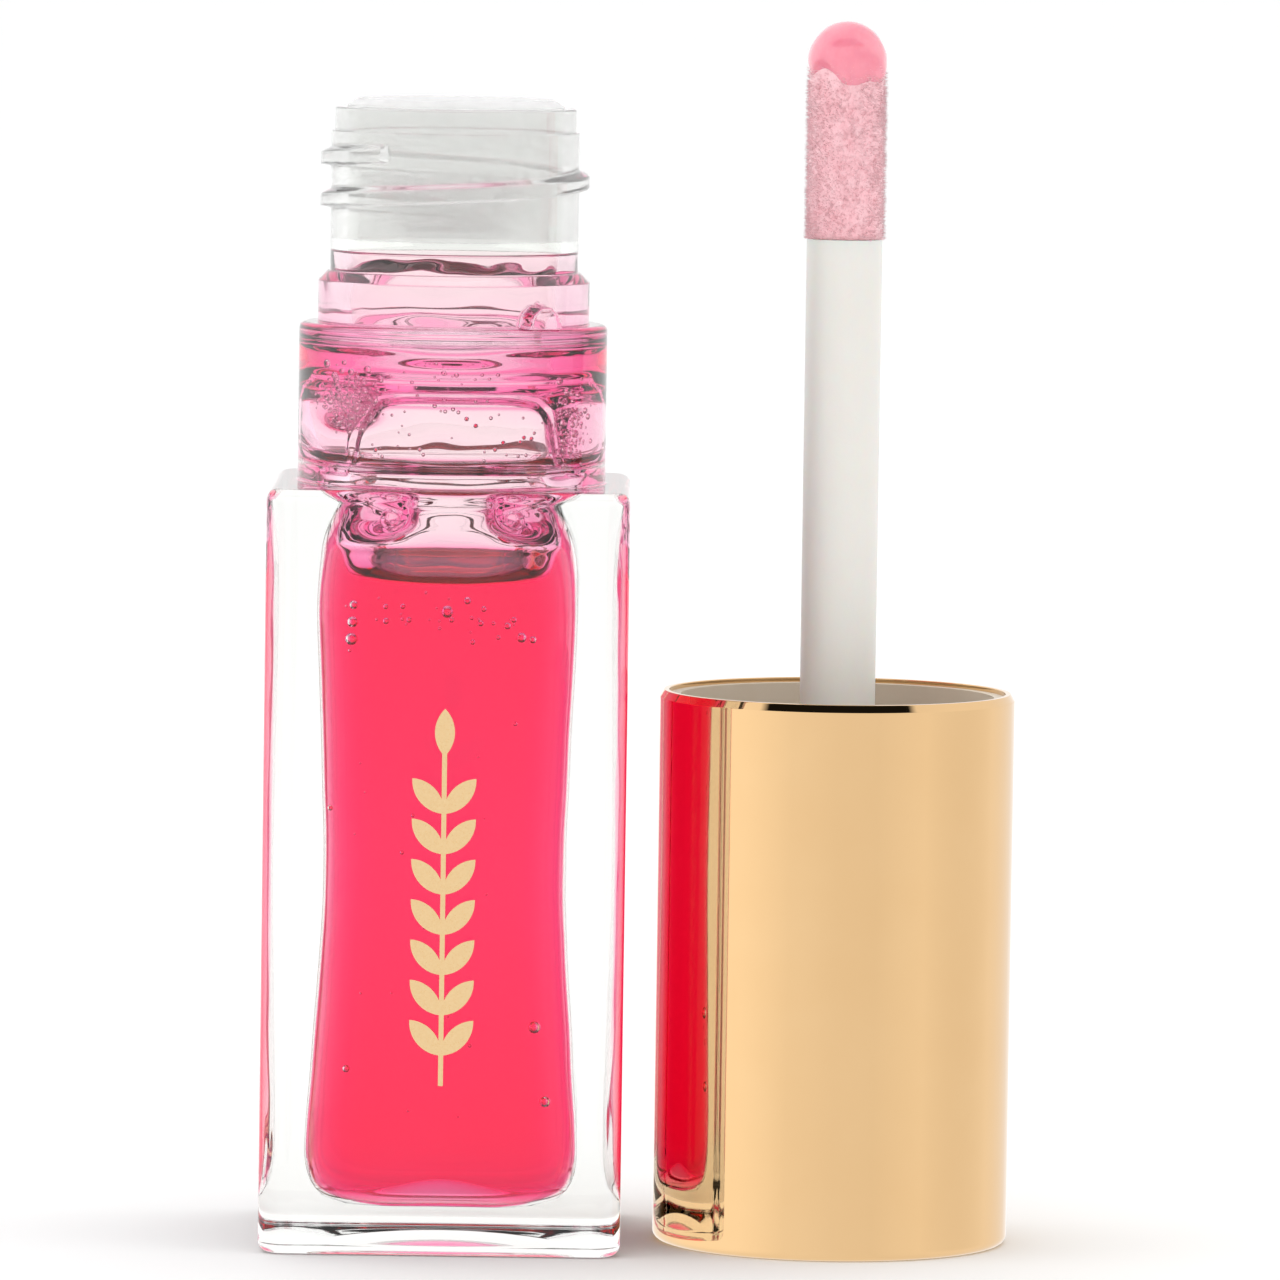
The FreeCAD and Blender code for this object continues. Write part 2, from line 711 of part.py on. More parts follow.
for number in range(int(size("rib_count"))):
    rib = document.addObject("Part::Box", "rib_%d" % number)
    turn = 360.0 * number / size("rib_count")
    rib.Placement.Rotation = FreeCAD.Rotation(FreeCAD.Vector(0, 0, 1), turn)
    bind(
        rib,
        {
            "Length": "Dims.liner_skirt_bore + 0.2 - Dims.hub_radius + 0.3",
            "Width": "Dims.rib_thickness",
            "Height": "Dims.liner_plate_low - Dims.liner_low + 0.2",
            "Placement.Base.x": "Dims.cap_x + (Dims.hub_radius - 0.3) * cos(%.1f)"
            " + Dims.rib_thickness / 2 * sin(%.1f)" % (turn, turn),
            "Placement.Base.y": "(Dims.hub_radius - 0.3) * sin(%.1f)"
            " - Dims.rib_thickness / 2 * cos(%.1f)" % (turn, turn),
            "Placement.Base.z": "Dims.liner_low",
        },
    )
    ribs.append(rib)
socket_bore = tier(
    "socket_bore",
    CAP,
    "Dims.stem_radius",
    "Dims.stem_radius",
    "Dims.stem_low",
    "Dims.hub_boss + 1",
)
socket_groove = tier(
    "socket_groove",
    CAP,
    "Dims.bead_radius",
    "Dims.bead_radius",
    "Dims.bead_low",
    "Dims.bead_high",
)
socket = fused("stem_socket", [socket_bore, socket_groove])
inner_cap = cut("inner_cap_body", fused("inner_cap_solid", [liner, inner_thread, hub] + ribs), socket)
label(inner_cap, "inner_cap")

# ---- weight in the cap's closed end -----------------------------------------------------------------

slug = tier("slug", CAP, "Dims.weight_radius", "Dims.weight_radius", "Dims.weight_low", "Dims.weight_high")
slug_ends = (level_at(size("weight_low")), level_at(size("weight_high")))
weight = bevelled(
    "slug_edges", slug, size("weight_edge"), lambda edge: any(test(edge) for test in slug_ends)
)
label(weight, "cap_weight")

# ---- wand: stem, applicator core, flocking and the gloss that wets its tip -------------------------------

stem = fused(
    "stem_body",
    [
        tier("stem_rod", CAP, "Dims.stem_radius", "Dims.stem_radius", "Dims.stem_low", "Dims.stem_top"),
        tier("stem_bead", CAP, "Dims.bead_radius", "Dims.bead_radius", "Dims.bead_low", "Dims.bead_high"),
        tier("stem_peg", CAP, "Dims.peg_radius", "Dims.peg_radius", "Dims.stem_top", "Dims.peg_top"),
    ],
)
label(stem, "wand_stem")


def capsule(text, radius, low):
    """A rod with a round end, from a height up to the applicator's tip."""
    return fused(
        text,
        [
            tier(text + "_rod", CAP, radius, radius, low, "Dims.tip_centre"),
            ball(text + "_end", CAP, radius, "Dims.tip_centre"),
        ],
    )


core_outside = capsule("core_outside", "Dims.core_radius", "Dims.stem_top")
peg_hole = tier("peg_hole", CAP, "Dims.peg_radius", "Dims.peg_radius", "Dims.stem_top - 1", "Dims.peg_top")
core = label(cut("core_body", core_outside, peg_hole), "applicator_core")

flock_outside = capsule("flock_outside", "Dims.flock_radius", "Dims.stem_top")
core_room = capsule("core_room", "Dims.core_radius", "Dims.stem_top - 1")
flock = label(cut("flock_body", flock_outside, core_room), "applicator_flock")

coat_outside = capsule("coat_outside", "Dims.coat_radius", "Dims.coat_low")
flock_room = capsule("flock_room", "Dims.flock_radius", "Dims.coat_low - 1")
coat = label(cut("coat_body", coat_outside, flock_room), "tip_gloss")

# ---- check and write ----------------------------------------------------------------------------------

document.recompute()

NODES = [bottle, gloss, wiper, sprig, shell, inner_cap, weight, stem, core, flock, coat]

for item in document.Objects:
    if "Invalid" in item.State or "Error" in item.State:
        raise RuntimeError("%s is in state %s" % (item.Label, item.State))
for node in NODES:
    if node.Shape.isNull() or not node.Shape.isValid():
        raise RuntimeError("%s has no valid shape" % node.Label)
    if len(node.Shape.Solids) != 1:
        raise RuntimeError("%s has %d solids" % (node.Label, len(node.Shape.Solids)))

os.makedirs("parts", exist_ok=True)
for node in NODES:
    box = node.Shape.BoundBox
    print(
        "%-18s x %.2f..%.2f y %.2f..%.2f z %.2f..%.2f volume %.1f"
        % (node.Label, box.XMin, box.XMax, box.YMin, box.YMax, box.ZMin, box.ZMax, node.Shape.Volume)
    )
    node.Shape.exportStep("parts/%s.step" % node.Label)
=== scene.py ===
"""Looks of a lip gloss tube: a square clear bottle of pink gloss, and its round gold cap with the wand.

Every length in the dataclasses is in millimetres. The meshes are in metres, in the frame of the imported
model: +Z up, -Y the front, the bottle at -X and the cap at +X.
"""

from __future__ import annotations

import logging
import math
import random
from dataclasses import dataclass, field
from enum import Enum
from typing import Callable, Iterable, Sequence

import bpy
from mathutils import Matrix, Vector, noise

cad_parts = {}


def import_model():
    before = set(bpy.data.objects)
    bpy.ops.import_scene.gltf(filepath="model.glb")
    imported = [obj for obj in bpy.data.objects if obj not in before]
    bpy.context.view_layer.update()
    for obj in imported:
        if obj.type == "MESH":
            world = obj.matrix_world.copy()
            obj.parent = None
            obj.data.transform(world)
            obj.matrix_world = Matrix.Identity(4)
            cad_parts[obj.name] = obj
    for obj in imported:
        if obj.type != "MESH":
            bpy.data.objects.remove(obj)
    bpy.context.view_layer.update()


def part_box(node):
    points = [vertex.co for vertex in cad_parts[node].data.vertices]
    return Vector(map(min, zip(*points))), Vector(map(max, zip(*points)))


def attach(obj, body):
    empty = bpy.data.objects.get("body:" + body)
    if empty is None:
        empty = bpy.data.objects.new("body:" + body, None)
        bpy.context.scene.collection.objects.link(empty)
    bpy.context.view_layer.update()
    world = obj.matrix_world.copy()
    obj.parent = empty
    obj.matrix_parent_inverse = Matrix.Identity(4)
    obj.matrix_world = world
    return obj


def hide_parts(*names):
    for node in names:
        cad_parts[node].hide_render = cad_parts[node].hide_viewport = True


LOG = logging.getLogger("lip_gloss_tube")
MM = 0.001
Colour = tuple[float, float, float]


class Body(Enum):
    """The moving bodies that built pieces ride on."""

    BOTTLE = "bottle_set"
    CAP = "cap_and_wand"


# ---- shader building -------------------------------------------------------------------------------


class Signal:
    """One output socket of a material, with arithmetic on numbers."""

    def __init__(self, recipe: "Recipe", socket: bpy.types.NodeSocket) -> None:
        """Wrap a socket.

        Args:
            recipe: the recipe that the socket's node belongs to.
            socket: the output socket.
        """
        self.recipe = recipe
        self.socket = socket

    def _math(self, operation: str, first: object, second: object) -> "Signal":
        """Add a Math node and return its result."""
        return self.recipe.node("ShaderNodeMath", {"operation": operation}, {0: first, 1: second})

    def __add__(self, other: object) -> "Signal":
        """Sum."""
        return self._math("ADD", self, other)

    def __radd__(self, other: object) -> "Signal":
        """Sum, the other way round."""
        return self._math("ADD", other, self)

    def __sub__(self, other: object) -> "Signal":
        """Difference."""
        return self._math("SUBTRACT", self, other)

    def __rsub__(self, other: object) -> "Signal":
        """Difference, the other way round."""
        return self._math("SUBTRACT", other, self)

    def __mul__(self, other: object) -> "Signal":
        """Product."""
        return self._math("MULTIPLY", self, other)

    def __rmul__(self, other: object) -> "Signal":
        """Product, the other way round."""
        return self._math("MULTIPLY", other, self)

    def __truediv__(self, other: object) -> "Signal":
        """Quotient."""
        return self._math("DIVIDE", self, other)

    def __rtruediv__(self, other: object) -> "Signal":
        """Quotient, the other way round."""
        return self._math("DIVIDE", other, self)

    def __pow__(self, other: object) -> "Signal":
        """Power."""
        return self._math("POWER", self, other)

    def __rpow__(self, other: object) -> "Signal":
        """Power, the other way round."""
        return self._math("POWER", other, self)

    def between(self, low: float, high: float) -> "Signal":
        """Stretch the span from low to high onto 0 to 1, and cut off what lies outside.

        Args:
            low: value that becomes 0.
            high: value that becomes 1.

        Returns:
            The stretched signal.
        """
        return self.recipe.node(
            "ShaderNodeMapRange", {"clamp": True}, {"Value": self, "From Min": low, "From Max": high}
        )


class Recipe:
    """The node tree of one material or of the world."""

    def __init__(self, tree: bpy.types.NodeTree) -> None:
        """Start from an empty tree.

        Args:
            tree: the node tree to fill.
        """
        self.tree = tree
        tree.nodes.clear()

    def node(
        self,
        kind: str,
        settings: dict[str, object] | None = None,
        inputs: dict[str | int, object] | None = None,
        output: str | int = 0,
    ) -> Signal:
        """Add a node.

        Args:
            kind: the node's type.
            settings: properties of the node, set first; a ramp takes its stops under "stops".
            inputs: plain values, or signals to link, by socket.
            output: the socket to return.

        Returns:
            The chosen output.
        """
        made = self.tree.nodes.new(kind)
        for name, value in (settings or {}).items():
            if name == "stops":
                self._stops(made.color_ramp, value)
            else:
                setattr(made, name, value)
        for name, value in (inputs or {}).items():
            if isinstance(value, Signal):
                self.tree.links.new(value.socket, made.inputs[name])
            elif value is not None:
                made.inputs[name].default_value = value
        if not made.outputs:
            return Signal(self, made.inputs[0])
        return Signal(self, made.outputs[output])

    @staticmethod
    def _stops(ramp: bpy.types.ColorRamp, stops: Sequence[tuple[float, Colour]]) -> None:
        """Put stops on a ramp.

        Args:
            ramp: the ramp.
            stops: place and colour of each stop.
        """
        while len(ramp.elements) < len(stops):
            ramp.elements.new(1.0)
        for element, (place, colour) in zip(ramp.elements, stops):
            element.position = place
            element.color = (*colour, 1.0)

    def mix(self, share: object, first: object, second: object) -> Signal:
        """Blend two colours.

        Args:
            share: 0 for the first colour, 1 for the second.
            first: a colour or a signal.
            second: a colour or a signal.

        Returns:
            The blended colour.
        """
        ends = [end if isinstance(end, Signal) else (*end, 1.0) for end in (first, second)]
        return self.node(
            "ShaderNodeMix", {"data_type": "RGBA"}, {0: share, 6: ends[0], 7: ends[1]}, output=2
        )

    def place(self) -> Signal:
        """The point being shaded, in metres of the object's frame."""
        return self.node("ShaderNodeTexCoord", output="Object")

    def grain(self, size_mm: float, detail: float = 3.0, roughness: float = 0.5) -> Signal:
        """Even cloudy noise from 0 to 1.

        Args:
            size_mm: size of its largest blotches.
            detail: how many finer layers it has.
            roughness: how strong the finer layers are.

        Returns:
            The noise.
        """
        return self.node(
            "ShaderNodeTexNoise",
            inputs={
                "Vector": self.place(),
                "Scale": 1.0 / (size_mm * MM),
                "Detail": detail,
                "Roughness": roughness,
            },
        )

    def bump(self, relief: Signal, depth_mm: float, strength: float = 1.0) -> Signal:
        """A normal that follows a relief.

        Args:
            relief: heights from 0 to 1.
            depth_mm: depth of the relief.
            strength: share of it that shows.

        Returns:
            The normal.
        """
        return self.node(
            "ShaderNodeBump",
            inputs={"Strength": strength, "Distance": depth_mm * MM, "Height": relief},
            output="Normal",
        )


class Finish:
    """What a finish of this object has in common: a name and a material made once."""

    name: str = "finish"

    def surface(self, recipe: Recipe) -> dict[str, object]:
        """The Principled shader's sockets, by name.

        Args:
            recipe: the recipe of the material's nodes.

        Returns:
            The Principled shader's sockets, by name.
        """
        raise NotImplementedError

    def depth(self) -> tuple[Colour, float] | None:
        """Colour and density of what absorbs light inside, or None."""
        return None

    def material(self) -> bpy.types.Material:
        """Make the material, or find it if it is there already.

        Returns:
            The material.
        """
        found = bpy.data.materials.get(self.name)
        if found is not None:
            return found
        made = bpy.data.materials.new(self.name)
        made.use_nodes = True
        recipe = Recipe(made.node_tree)
        shader = recipe.node("ShaderNodeBsdfPrincipled", inputs=self.surface(recipe))
        inputs: dict[str | int, object] = {"Surface": shader}
        inside = self.depth()
        if inside is not None:
            colour, density = inside
            inputs["Volume"] = recipe.node(
                "ShaderNodeVolumeAbsorption", inputs={"Color": (*colour, 1.0), "Density": density}
            )
        recipe.node("ShaderNodeOutputMaterial", inputs=inputs)
        return made


@dataclass(frozen=True)
class ClearPlastic(Finish):
    """Thick clear moulded plastic, polished, with a faint flow haze."""

    name: str = "polished_clear_plastic"
    tint: Colour = (0.925, 0.935, 0.915)
    index: float = 1.5
    mirror: float = 1.0

    def surface(self, recipe: Recipe) -> dict[str, object]:
        """Clear, with a trace of haze.

        Args:
            recipe: the recipe of the material's nodes.

        Returns:
            The Principled shader's sockets, by name.
        """
        haze = recipe.grain(2.5, 2.0)
        return {
            "Base Color": (*self.tint, 1.0),
            "Roughness": haze * 0.02,
            "IOR": self.index,
            "Specular Tint": (self.mirror, self.mirror, self.mirror, 1.0),
            "Transmission Weight": 1.0,
        }


@dataclass(frozen=True)
class PinkGloss(Finish):
    """Clear pink liquid that swallows green and blue with depth."""

    name: str = "clear_pink_liquid"
    index: float = 1.46
    mirror: float = 0.05
    shade: Colour = (1.0, 0.0, 0.53)
    density: float = 380.0

    def surface(self, recipe: Recipe) -> dict[str, object]:
        """A smooth clear skin.

        Args:
            recipe: the recipe of the material's nodes.

        Returns:
            The Principled shader's sockets, by name.
        """
        clouds = recipe.grain(3.0, 2.0)
        return {
            "Base Color": (1.0, 0.955, 0.945, 1.0),
            "Roughness": clouds * 0.03,
            "IOR": self.index,
            "Specular Tint": (self.mirror, self.mirror, self.mirror, 1.0),
            "Transmission Weight": 1.0,
        }

    def depth(self) -> tuple[Colour, float]:
        """Pink by depth."""
        return self.shade, self.density


@dataclass(frozen=True)
class MilkyPlastic(Finish):
    """Soft milky plastic of the wiper, which light soaks through."""

    name: str = "milky_plastic"
    base: Colour = (1.0, 0.965, 0.955)
    warm: Colour = (1.0, 0.90, 0.91)

    def surface(self, recipe: Recipe) -> dict[str, object]:
        """Milky and waxy.

        Args:
            recipe: the recipe of the material's nodes.

        Returns:
            The Principled shader's sockets, by name.
        """
        clouds = recipe.grain(1.6, 3.0)
        return {
            "Base Color": recipe.mix(clouds, self.base, self.warm),
            "Roughness": clouds * 0.15 + 0.38,
            "Alpha": clouds * 0.08 + 0.12,
            "Subsurface Weight": 1.0,
            "Subsurface Radius": (1.0, 0.95, 0.95),
            "Subsurface Scale": 0.0012,
            "Normal": recipe.bump(recipe.grain(0.5), 0.01, 0.3),
        }


@dataclass(frozen=True)
class MirrorGold(Finish):
    """Mirror-polished gold-coloured metal with faint handling marks."""

    name: str = "mirror_gold"
    base: Colour = (0.715, 0.465, 0.232)
    pale: Colour = (0.745, 0.500, 0.262)

    def surface(self, recipe: Recipe) -> dict[str, object]:
        """Nearly sharp reflections, a touch softer in patches.

        Args:
            recipe: the recipe of the material's nodes.

        Returns:
            The Principled shader's sockets, by name.
        """
        patches = recipe.grain(4.0, 4.0)
        return {
            "Base Color": recipe.mix(patches, self.base, self.pale),
            "Metallic": 1.0,
            "Roughness": patches * 0.035 + 0.01,
            "Normal": recipe.bump(recipe.grain(7.0, 1.0), 0.02, 0.25),
        }


@dataclass(frozen=True)
class GoldFoil(Finish):
    """Hot-stamped foil: thin, a little crinkled and worn at its grain."""

    name: str = "stamped_foil"
    base: Colour = (0.72, 0.47, 0.22)
    pale: Colour = (0.88, 0.66, 0.38)

    def surface(self, recipe: Recipe) -> dict[str, object]:
        """Satin gold with fine specks.

        Args:
            recipe: the recipe of the material's nodes.

        Returns:
            The Principled shader's sockets, by name.
        """
        specks = recipe.grain(0.12, 4.0, 0.7)
        return {
            "Base Color": recipe.mix(specks, self.base, self.pale),
            "Metallic": 1.0,
            "Roughness": specks * 0.25 + 0.18,
            "Normal": recipe.bump(specks, 0.01, 0.6),
        }


@dataclass(frozen=True)
class MouldedPlastic(Finish):
    """Opaque or faintly translucent moulded plastic."""

    name: str = "moulded_cream"
    base: Colour = (0.66, 0.56, 0.44)
    pale: Colour = (0.72, 0.63, 0.52)
    shine: float = 0.42
    waxy: float = 0.0

    def surface(self, recipe: Recipe) -> dict[str, object]:
        """Satin plastic with a fine moulded grain.

        Args:
            recipe: the recipe of the material's nodes.

        Returns:
            The Principled shader's sockets, by name.
        """
        clouds = recipe.grain(2.2, 4.0)
        fine = recipe.grain(0.18, 2.0)
        return {
            "Base Color": recipe.mix(clouds, self.base, self.pale),
            "Roughness": fine * 0.12 + self.shine,
            "Subsurface Weight": self.waxy,
            "Subsurface Scale": 0.0015,
            "Normal": recipe.bump(fine, 0.008, 0.35),
        }


@dataclass(frozen=True)
class TurnedSteel(Finish):
    """Turned steel: fine rings about the cap's axis."""

    name: str = "turned_steel"
    axis_x: float = 0.0

    def surface(self, recipe: Recipe) -> dict[str, object]:
        """Grey metal with tool rings.

        Args:
            recipe: the recipe of the material's nodes.

        Returns:
            The Principled shader's sockets, by name.
        """
        moved = recipe.node(
            "ShaderNodeVectorMath",
            {"operation": "SUBTRACT"},
            {0: recipe.place(), 1: (self.axis_x, 0.0, 0.0)},
        )
        rings = recipe.node(
            "ShaderNodeTexWave",
            {"wave_type": "RINGS", "rings_direction": "Z"},
            {"Vector": moved, "Scale": 900.0, "Distortion": 0.6},
            "Fac",
        )
        return {
            "Base Color": recipe.mix(rings, (0.42, 0.42, 0.43), (0.56, 0.56, 0.57)),
            "Metallic": 1.0,
            "Roughness": rings * 0.12 + 0.28,
            "Normal": recipe.bump(rings, 0.01, 0.4),
        }


@dataclass(frozen=True)
class PinkFlock(Finish):
    """Short flock fibres that the gloss has dyed."""

    name: str = "dyed_flock"
    deep: Colour = (0.95, 0.40, 0.46)
    pale: Colour = (1.0, 0.76, 0.79)

    def surface(self, recipe: Recipe) -> dict[str, object]:
        """Soft and matt, in uneven pink.

        Args:
            recipe: the recipe of the material's nodes.

        Returns:
            The Principled shader's sockets, by name.
        """
        blotches = recipe.grain(0.9, 4.0, 0.6)
        strands = recipe.grain(0.09, 2.0)
        return {
            "Base Color": recipe.mix(blotches * 0.6 + strands * 0.4, self.deep, self.pale),
            "Roughness": strands * 0.2 + 0.7,
            "Sheen Weight": 0.8,
            "Sheen Roughness": 0.4,
            "Normal": recipe.bump(strands, 0.03, 0.5),
        }


@dataclass(frozen=True)
class WetGloss(Finish):
    """A wet film of gloss over the flocking."""

    name: str = "wet_film"
    deep: Colour = (0.80, 0.16, 0.25)
    pale: Colour = (0.95, 0.36, 0.43)

    def surface(self, recipe: Recipe) -> dict[str, object]:
        """Pink under a wet skin.

        Args:
            recipe: the recipe of the material's nodes.

        Returns:
            The Principled shader's sockets, by name.
        """
        clouds = recipe.grain(1.1, 3.0)
        lumps = recipe.grain(0.7, 2.0)
        return {
            "Base Color": recipe.mix(clouds, self.deep, self.pale),
            "Roughness": clouds * 0.08 + 0.06,
            "Coat Weight": 0.8,
            "Coat Roughness": 0.03,
            "Subsurface Weight": 0.2,
            "Subsurface Scale": 0.001,
            "Normal": recipe.bump(lumps, 0.06, 0.5),
        }


@dataclass(frozen=True)
class PaleTable(Finish):
    """The plain pale floor."""

    name: str = "pale_table"
    base: Colour = (0.96, 0.96, 0.96)

    def surface(self, recipe: Recipe) -> dict[str, object]:
        """Plain and matt.

        Args:
            recipe: the recipe of the material's nodes.

        Returns:
            The Principled shader's sockets, by name.
        """
        return {"Base Color": (*self.base, 1.0), "Roughness": 0.9, "Specular IOR Level": 0.1}


# ---- mesh building -----------------------------------------------------------------------------------


@dataclass(frozen=True)
class Outline:
    """A square with round corners; with corner equal to half it is a circle."""

    half: float
    corner: float

    def radius(self, angle: float) -> float:
        """Distance from the axis to the outline.

        Args:
            angle: direction in radians.

        Returns:
            The distance in millimetres.
        """
        inner = self.half - self.corner
        if inner < 1e-6:
            return self.half
        across, along = abs(math.cos(angle)), abs(math.sin(angle))
        if along > across:
            across, along = along, across
        if along / across * self.half <= inner:
            return self.half / across
        reach = inner * (across + along)
        return reach + math.sqrt(max(reach * reach - 2 * inner * inner + self.corner**2, 0.0))


Relief = Callable[[float, float, float], float]


@dataclass
class Station:
    """One ring of a surface: its height and its outline."""

    z: float
    outline: Outline


def round_at(z: float, radius: float) -> Station:
    """A round ring."""
    return Station(z, Outline(radius, radius))


def even_angles(count: int) -> list[float]:
    """Directions spread evenly round a circle."""
    return [2 * math.pi * i / count for i in range(count)]


def square_angles(flat: int, corner: int, half: float, radius: float) -> list[float]:
    """Directions spread over a square with round corners, closer at the corners.

    Args:
        flat: steps on half of a side.
        corner: steps on a corner's arc.
        half: half of the square's side.
        radius: radius of its corners.

    Returns:
        The directions, once round.
    """
    start = math.atan2(half - radius, half) - 0.01
    span = math.pi / 2 - 2 * start
    quarter = [-start + 2 * start * i / (2 * flat) for i in range(2 * flat)]
    quarter += [start + span * i / corner for i in range(corner)]
    return [angle + turn * math.pi / 2 for turn in range(4) for angle in quarter]


@dataclass
class Skin:
    """Surfaces of revolution and their square cousins, gathered into one mesh."""

    axis: Vector
    angles: list[float]
    points: list[tuple[float, float, float]] = field(default_factory=list)
    faces: list[tuple[int, ...]] = field(default_factory=list)

    def sweep(
        self,
        stations: Sequence[Station],
        relief: Relief | None = None,
        start: float | None = None,
        end: float | None = None,
    ) -> "Skin":
        """Join rings into a surface, in order; going up, its outside faces outwards.

        Args:
            stations: the rings.
            relief: what to add to a ring's radius, from direction, height and radius.
            start: height of the point that closes the first ring, or None to leave it open.
            end: height of the point that closes the last ring, or None.

        Returns:
            The skin itself.
        """
        count = len(self.angles)
        first = len(self.points)
        turns = [(math.cos(a), math.sin(a)) for a in self.angles]
        for station in stations:
            for angle, (cosine, sine) in zip(self.angles, turns):
                radius = station.outline.radius(angle)
                if relief is not None:
                    radius += relief(angle, station.z, radius)
                self.points.append((radius * cosine, radius * sine, station.z))
        for row in range(len(stations) - 1):
            low = first + row * count
            for i in range(count):
                j = (i + 1) % count
                self.faces.append((low + i, low + j, low + count + j, low + count + i))
        if start is not None:
            self._close(first, start, True)
        if end is not None:
            self._close(first + (len(stations) - 1) * count, end, False)
        return self

    def _close(self, ring: int, height: float, under: bool) -> None:
        """Close a ring with a fan.

        Args:
            ring: number of the ring's first point.
            height: height of the fan's tip.
            under: whether the fan faces down.
        """
        count = len(self.angles)
        self.points.append((0.0, 0.0, height))
        tip = len(self.points) - 1
        for i in range(count):
            j = (i + 1) % count
            pair = (ring + j, ring + i) if under else (ring + i, ring + j)
            self.faces.append((*pair, tip))

    def build(self, name: str, finish: Finish) -> bpy.types.Object:
        """Make the mesh object.

        Args:
            name: the piece's name.
            finish: its finish.

        Returns:
            The object, in the frame, in metres.
        """
        mesh = bpy.data.meshes.new(name)
        placed = [
            (x * MM + self.axis.x, y * MM + self.axis.y, z * MM + self.axis.z)
            for x, y, z in self.points
        ]
        mesh.from_pydata(placed, [], self.faces)
        mesh.shade_smooth()
        mesh.materials.append(finish.material())
        mesh.update()
        made = bpy.data.objects.new(name, mesh)
        bpy.context.scene.collection.objects.link(made)
        return made


def rounded_path(
    corners: Sequence[tuple[float, float, float]], steps: int = 5, guard: float = 0.03
) -> list[tuple[float, float]]:
    """A profile with rounded corners.

    Args:
        corners: radius from the axis, height, and rounding at each corner, in order.
        steps: steps on each rounding.
        guard: distance of the extra ring that keeps a flat beside a rounding flat.

    Returns:
        Radius and height of each ring.
    """
    path: list[tuple[float, float]] = []
    for number, (across, up, rounding) in enumerate(corners):
        if number in (0, len(corners) - 1) or rounding <= 0:
            path.append((across, up))
            continue
        here = Vector((across, up))
        back = (Vector(corners[number - 1][:2]) - here).normalized()
        ahead = (Vector(corners[number + 1][:2]) - here).normalized()
        half_turn = math.acos(max(-1.0, min(1.0, back.dot(ahead)))) / 2
        reach = rounding / math.tan(half_turn)
        middle = here + (back + ahead).normalized() * rounding / math.sin(half_turn)
        start, end = here + back * reach, here + ahead * reach
        path.append(tuple(start + back * guard))
        for step in range(steps + 1):
            spoke = (start - middle).lerp(end - middle, step / steps)
            path.append(tuple(middle + spoke.normalized() * rounding))
        path.append(tuple(end + ahead * guard))
    return path


def turned(corners: Sequence[tuple[float, float, float]], steps: int = 5) -> list[Station]:
    """Round rings along a profile with rounded corners.

    Args:
        corners: radius, height and rounding at each corner, in order.
        steps: steps on each rounding.

    Returns:
        The rings.
    """
    return [round_at(z, radius) for radius, z in rounded_path(corners, steps)]


def swollen(path: Sequence[tuple[float, float]], amount: float) -> list[tuple[float, float]]:
    """Move a profile sideways, to the right of its direction of travel.

    Args:
        path: radius and height of each ring.
        amount: distance to move.

    Returns:
        The moved profile.
    """
    moved = []
    for number, (across, up) in enumerate(path):
        before = Vector(path[max(number - 1, 0)])
        after = Vector(path[min(number + 1, len(path) - 1)])
        way = (after - before).normalized()
        moved.append((across + way.y * amount, up - way.x * amount))
    return moved


# ---- the bottle -------------------------------------------------------------------------------------


@dataclass(frozen=True)
class Thread:
    """The right-hand screw thread on the neck."""

    crest: float = 7.1
    wall: float = 6.55
    pitch: float = 2.2
    turns: float = 1.45
    top: float = 57.0
    end_direction: float = 237.6
    foot: float = 0.04
    low: float = 0.14
    high: float = 0.74
    head: float = 1.12

    def rise(self, angle: float, z: float) -> float:
        """How far the thread stands out of the neck.

        Args:
            angle: direction in radians.
            z: height in millimetres.

        Returns:
            The height of the thread there, 0 beside it.
        """
        turned = (self.end_direction - math.degrees(angle)) % 360 / 360
        best = 0.0
        for lap in range(3):
            back = turned + lap
            if back > self.turns:
                break
            fade = min(1.0, (self.turns - back) / 0.12)
            best = max(best, self._section(z - (self.top - self.pitch * back)) * fade)
        return best * (self.crest - self.wall)

    def _section(self, up: float) -> float:
        """The thread's section.

        Args:
            up: height above its lower edge.

        Returns:
            Its share of the full depth there, from 0 to 1.
        """
        if up <= self.foot or up >= self.head:
            return 0.0
        if up < self.low:
            share = (up - self.foot) / (self.low - self.foot)
        elif up > self.high:
            share = (self.head - up) / (self.head - self.high)
        else:
            return 1.0
        return share * share * (3 - 2 * share)


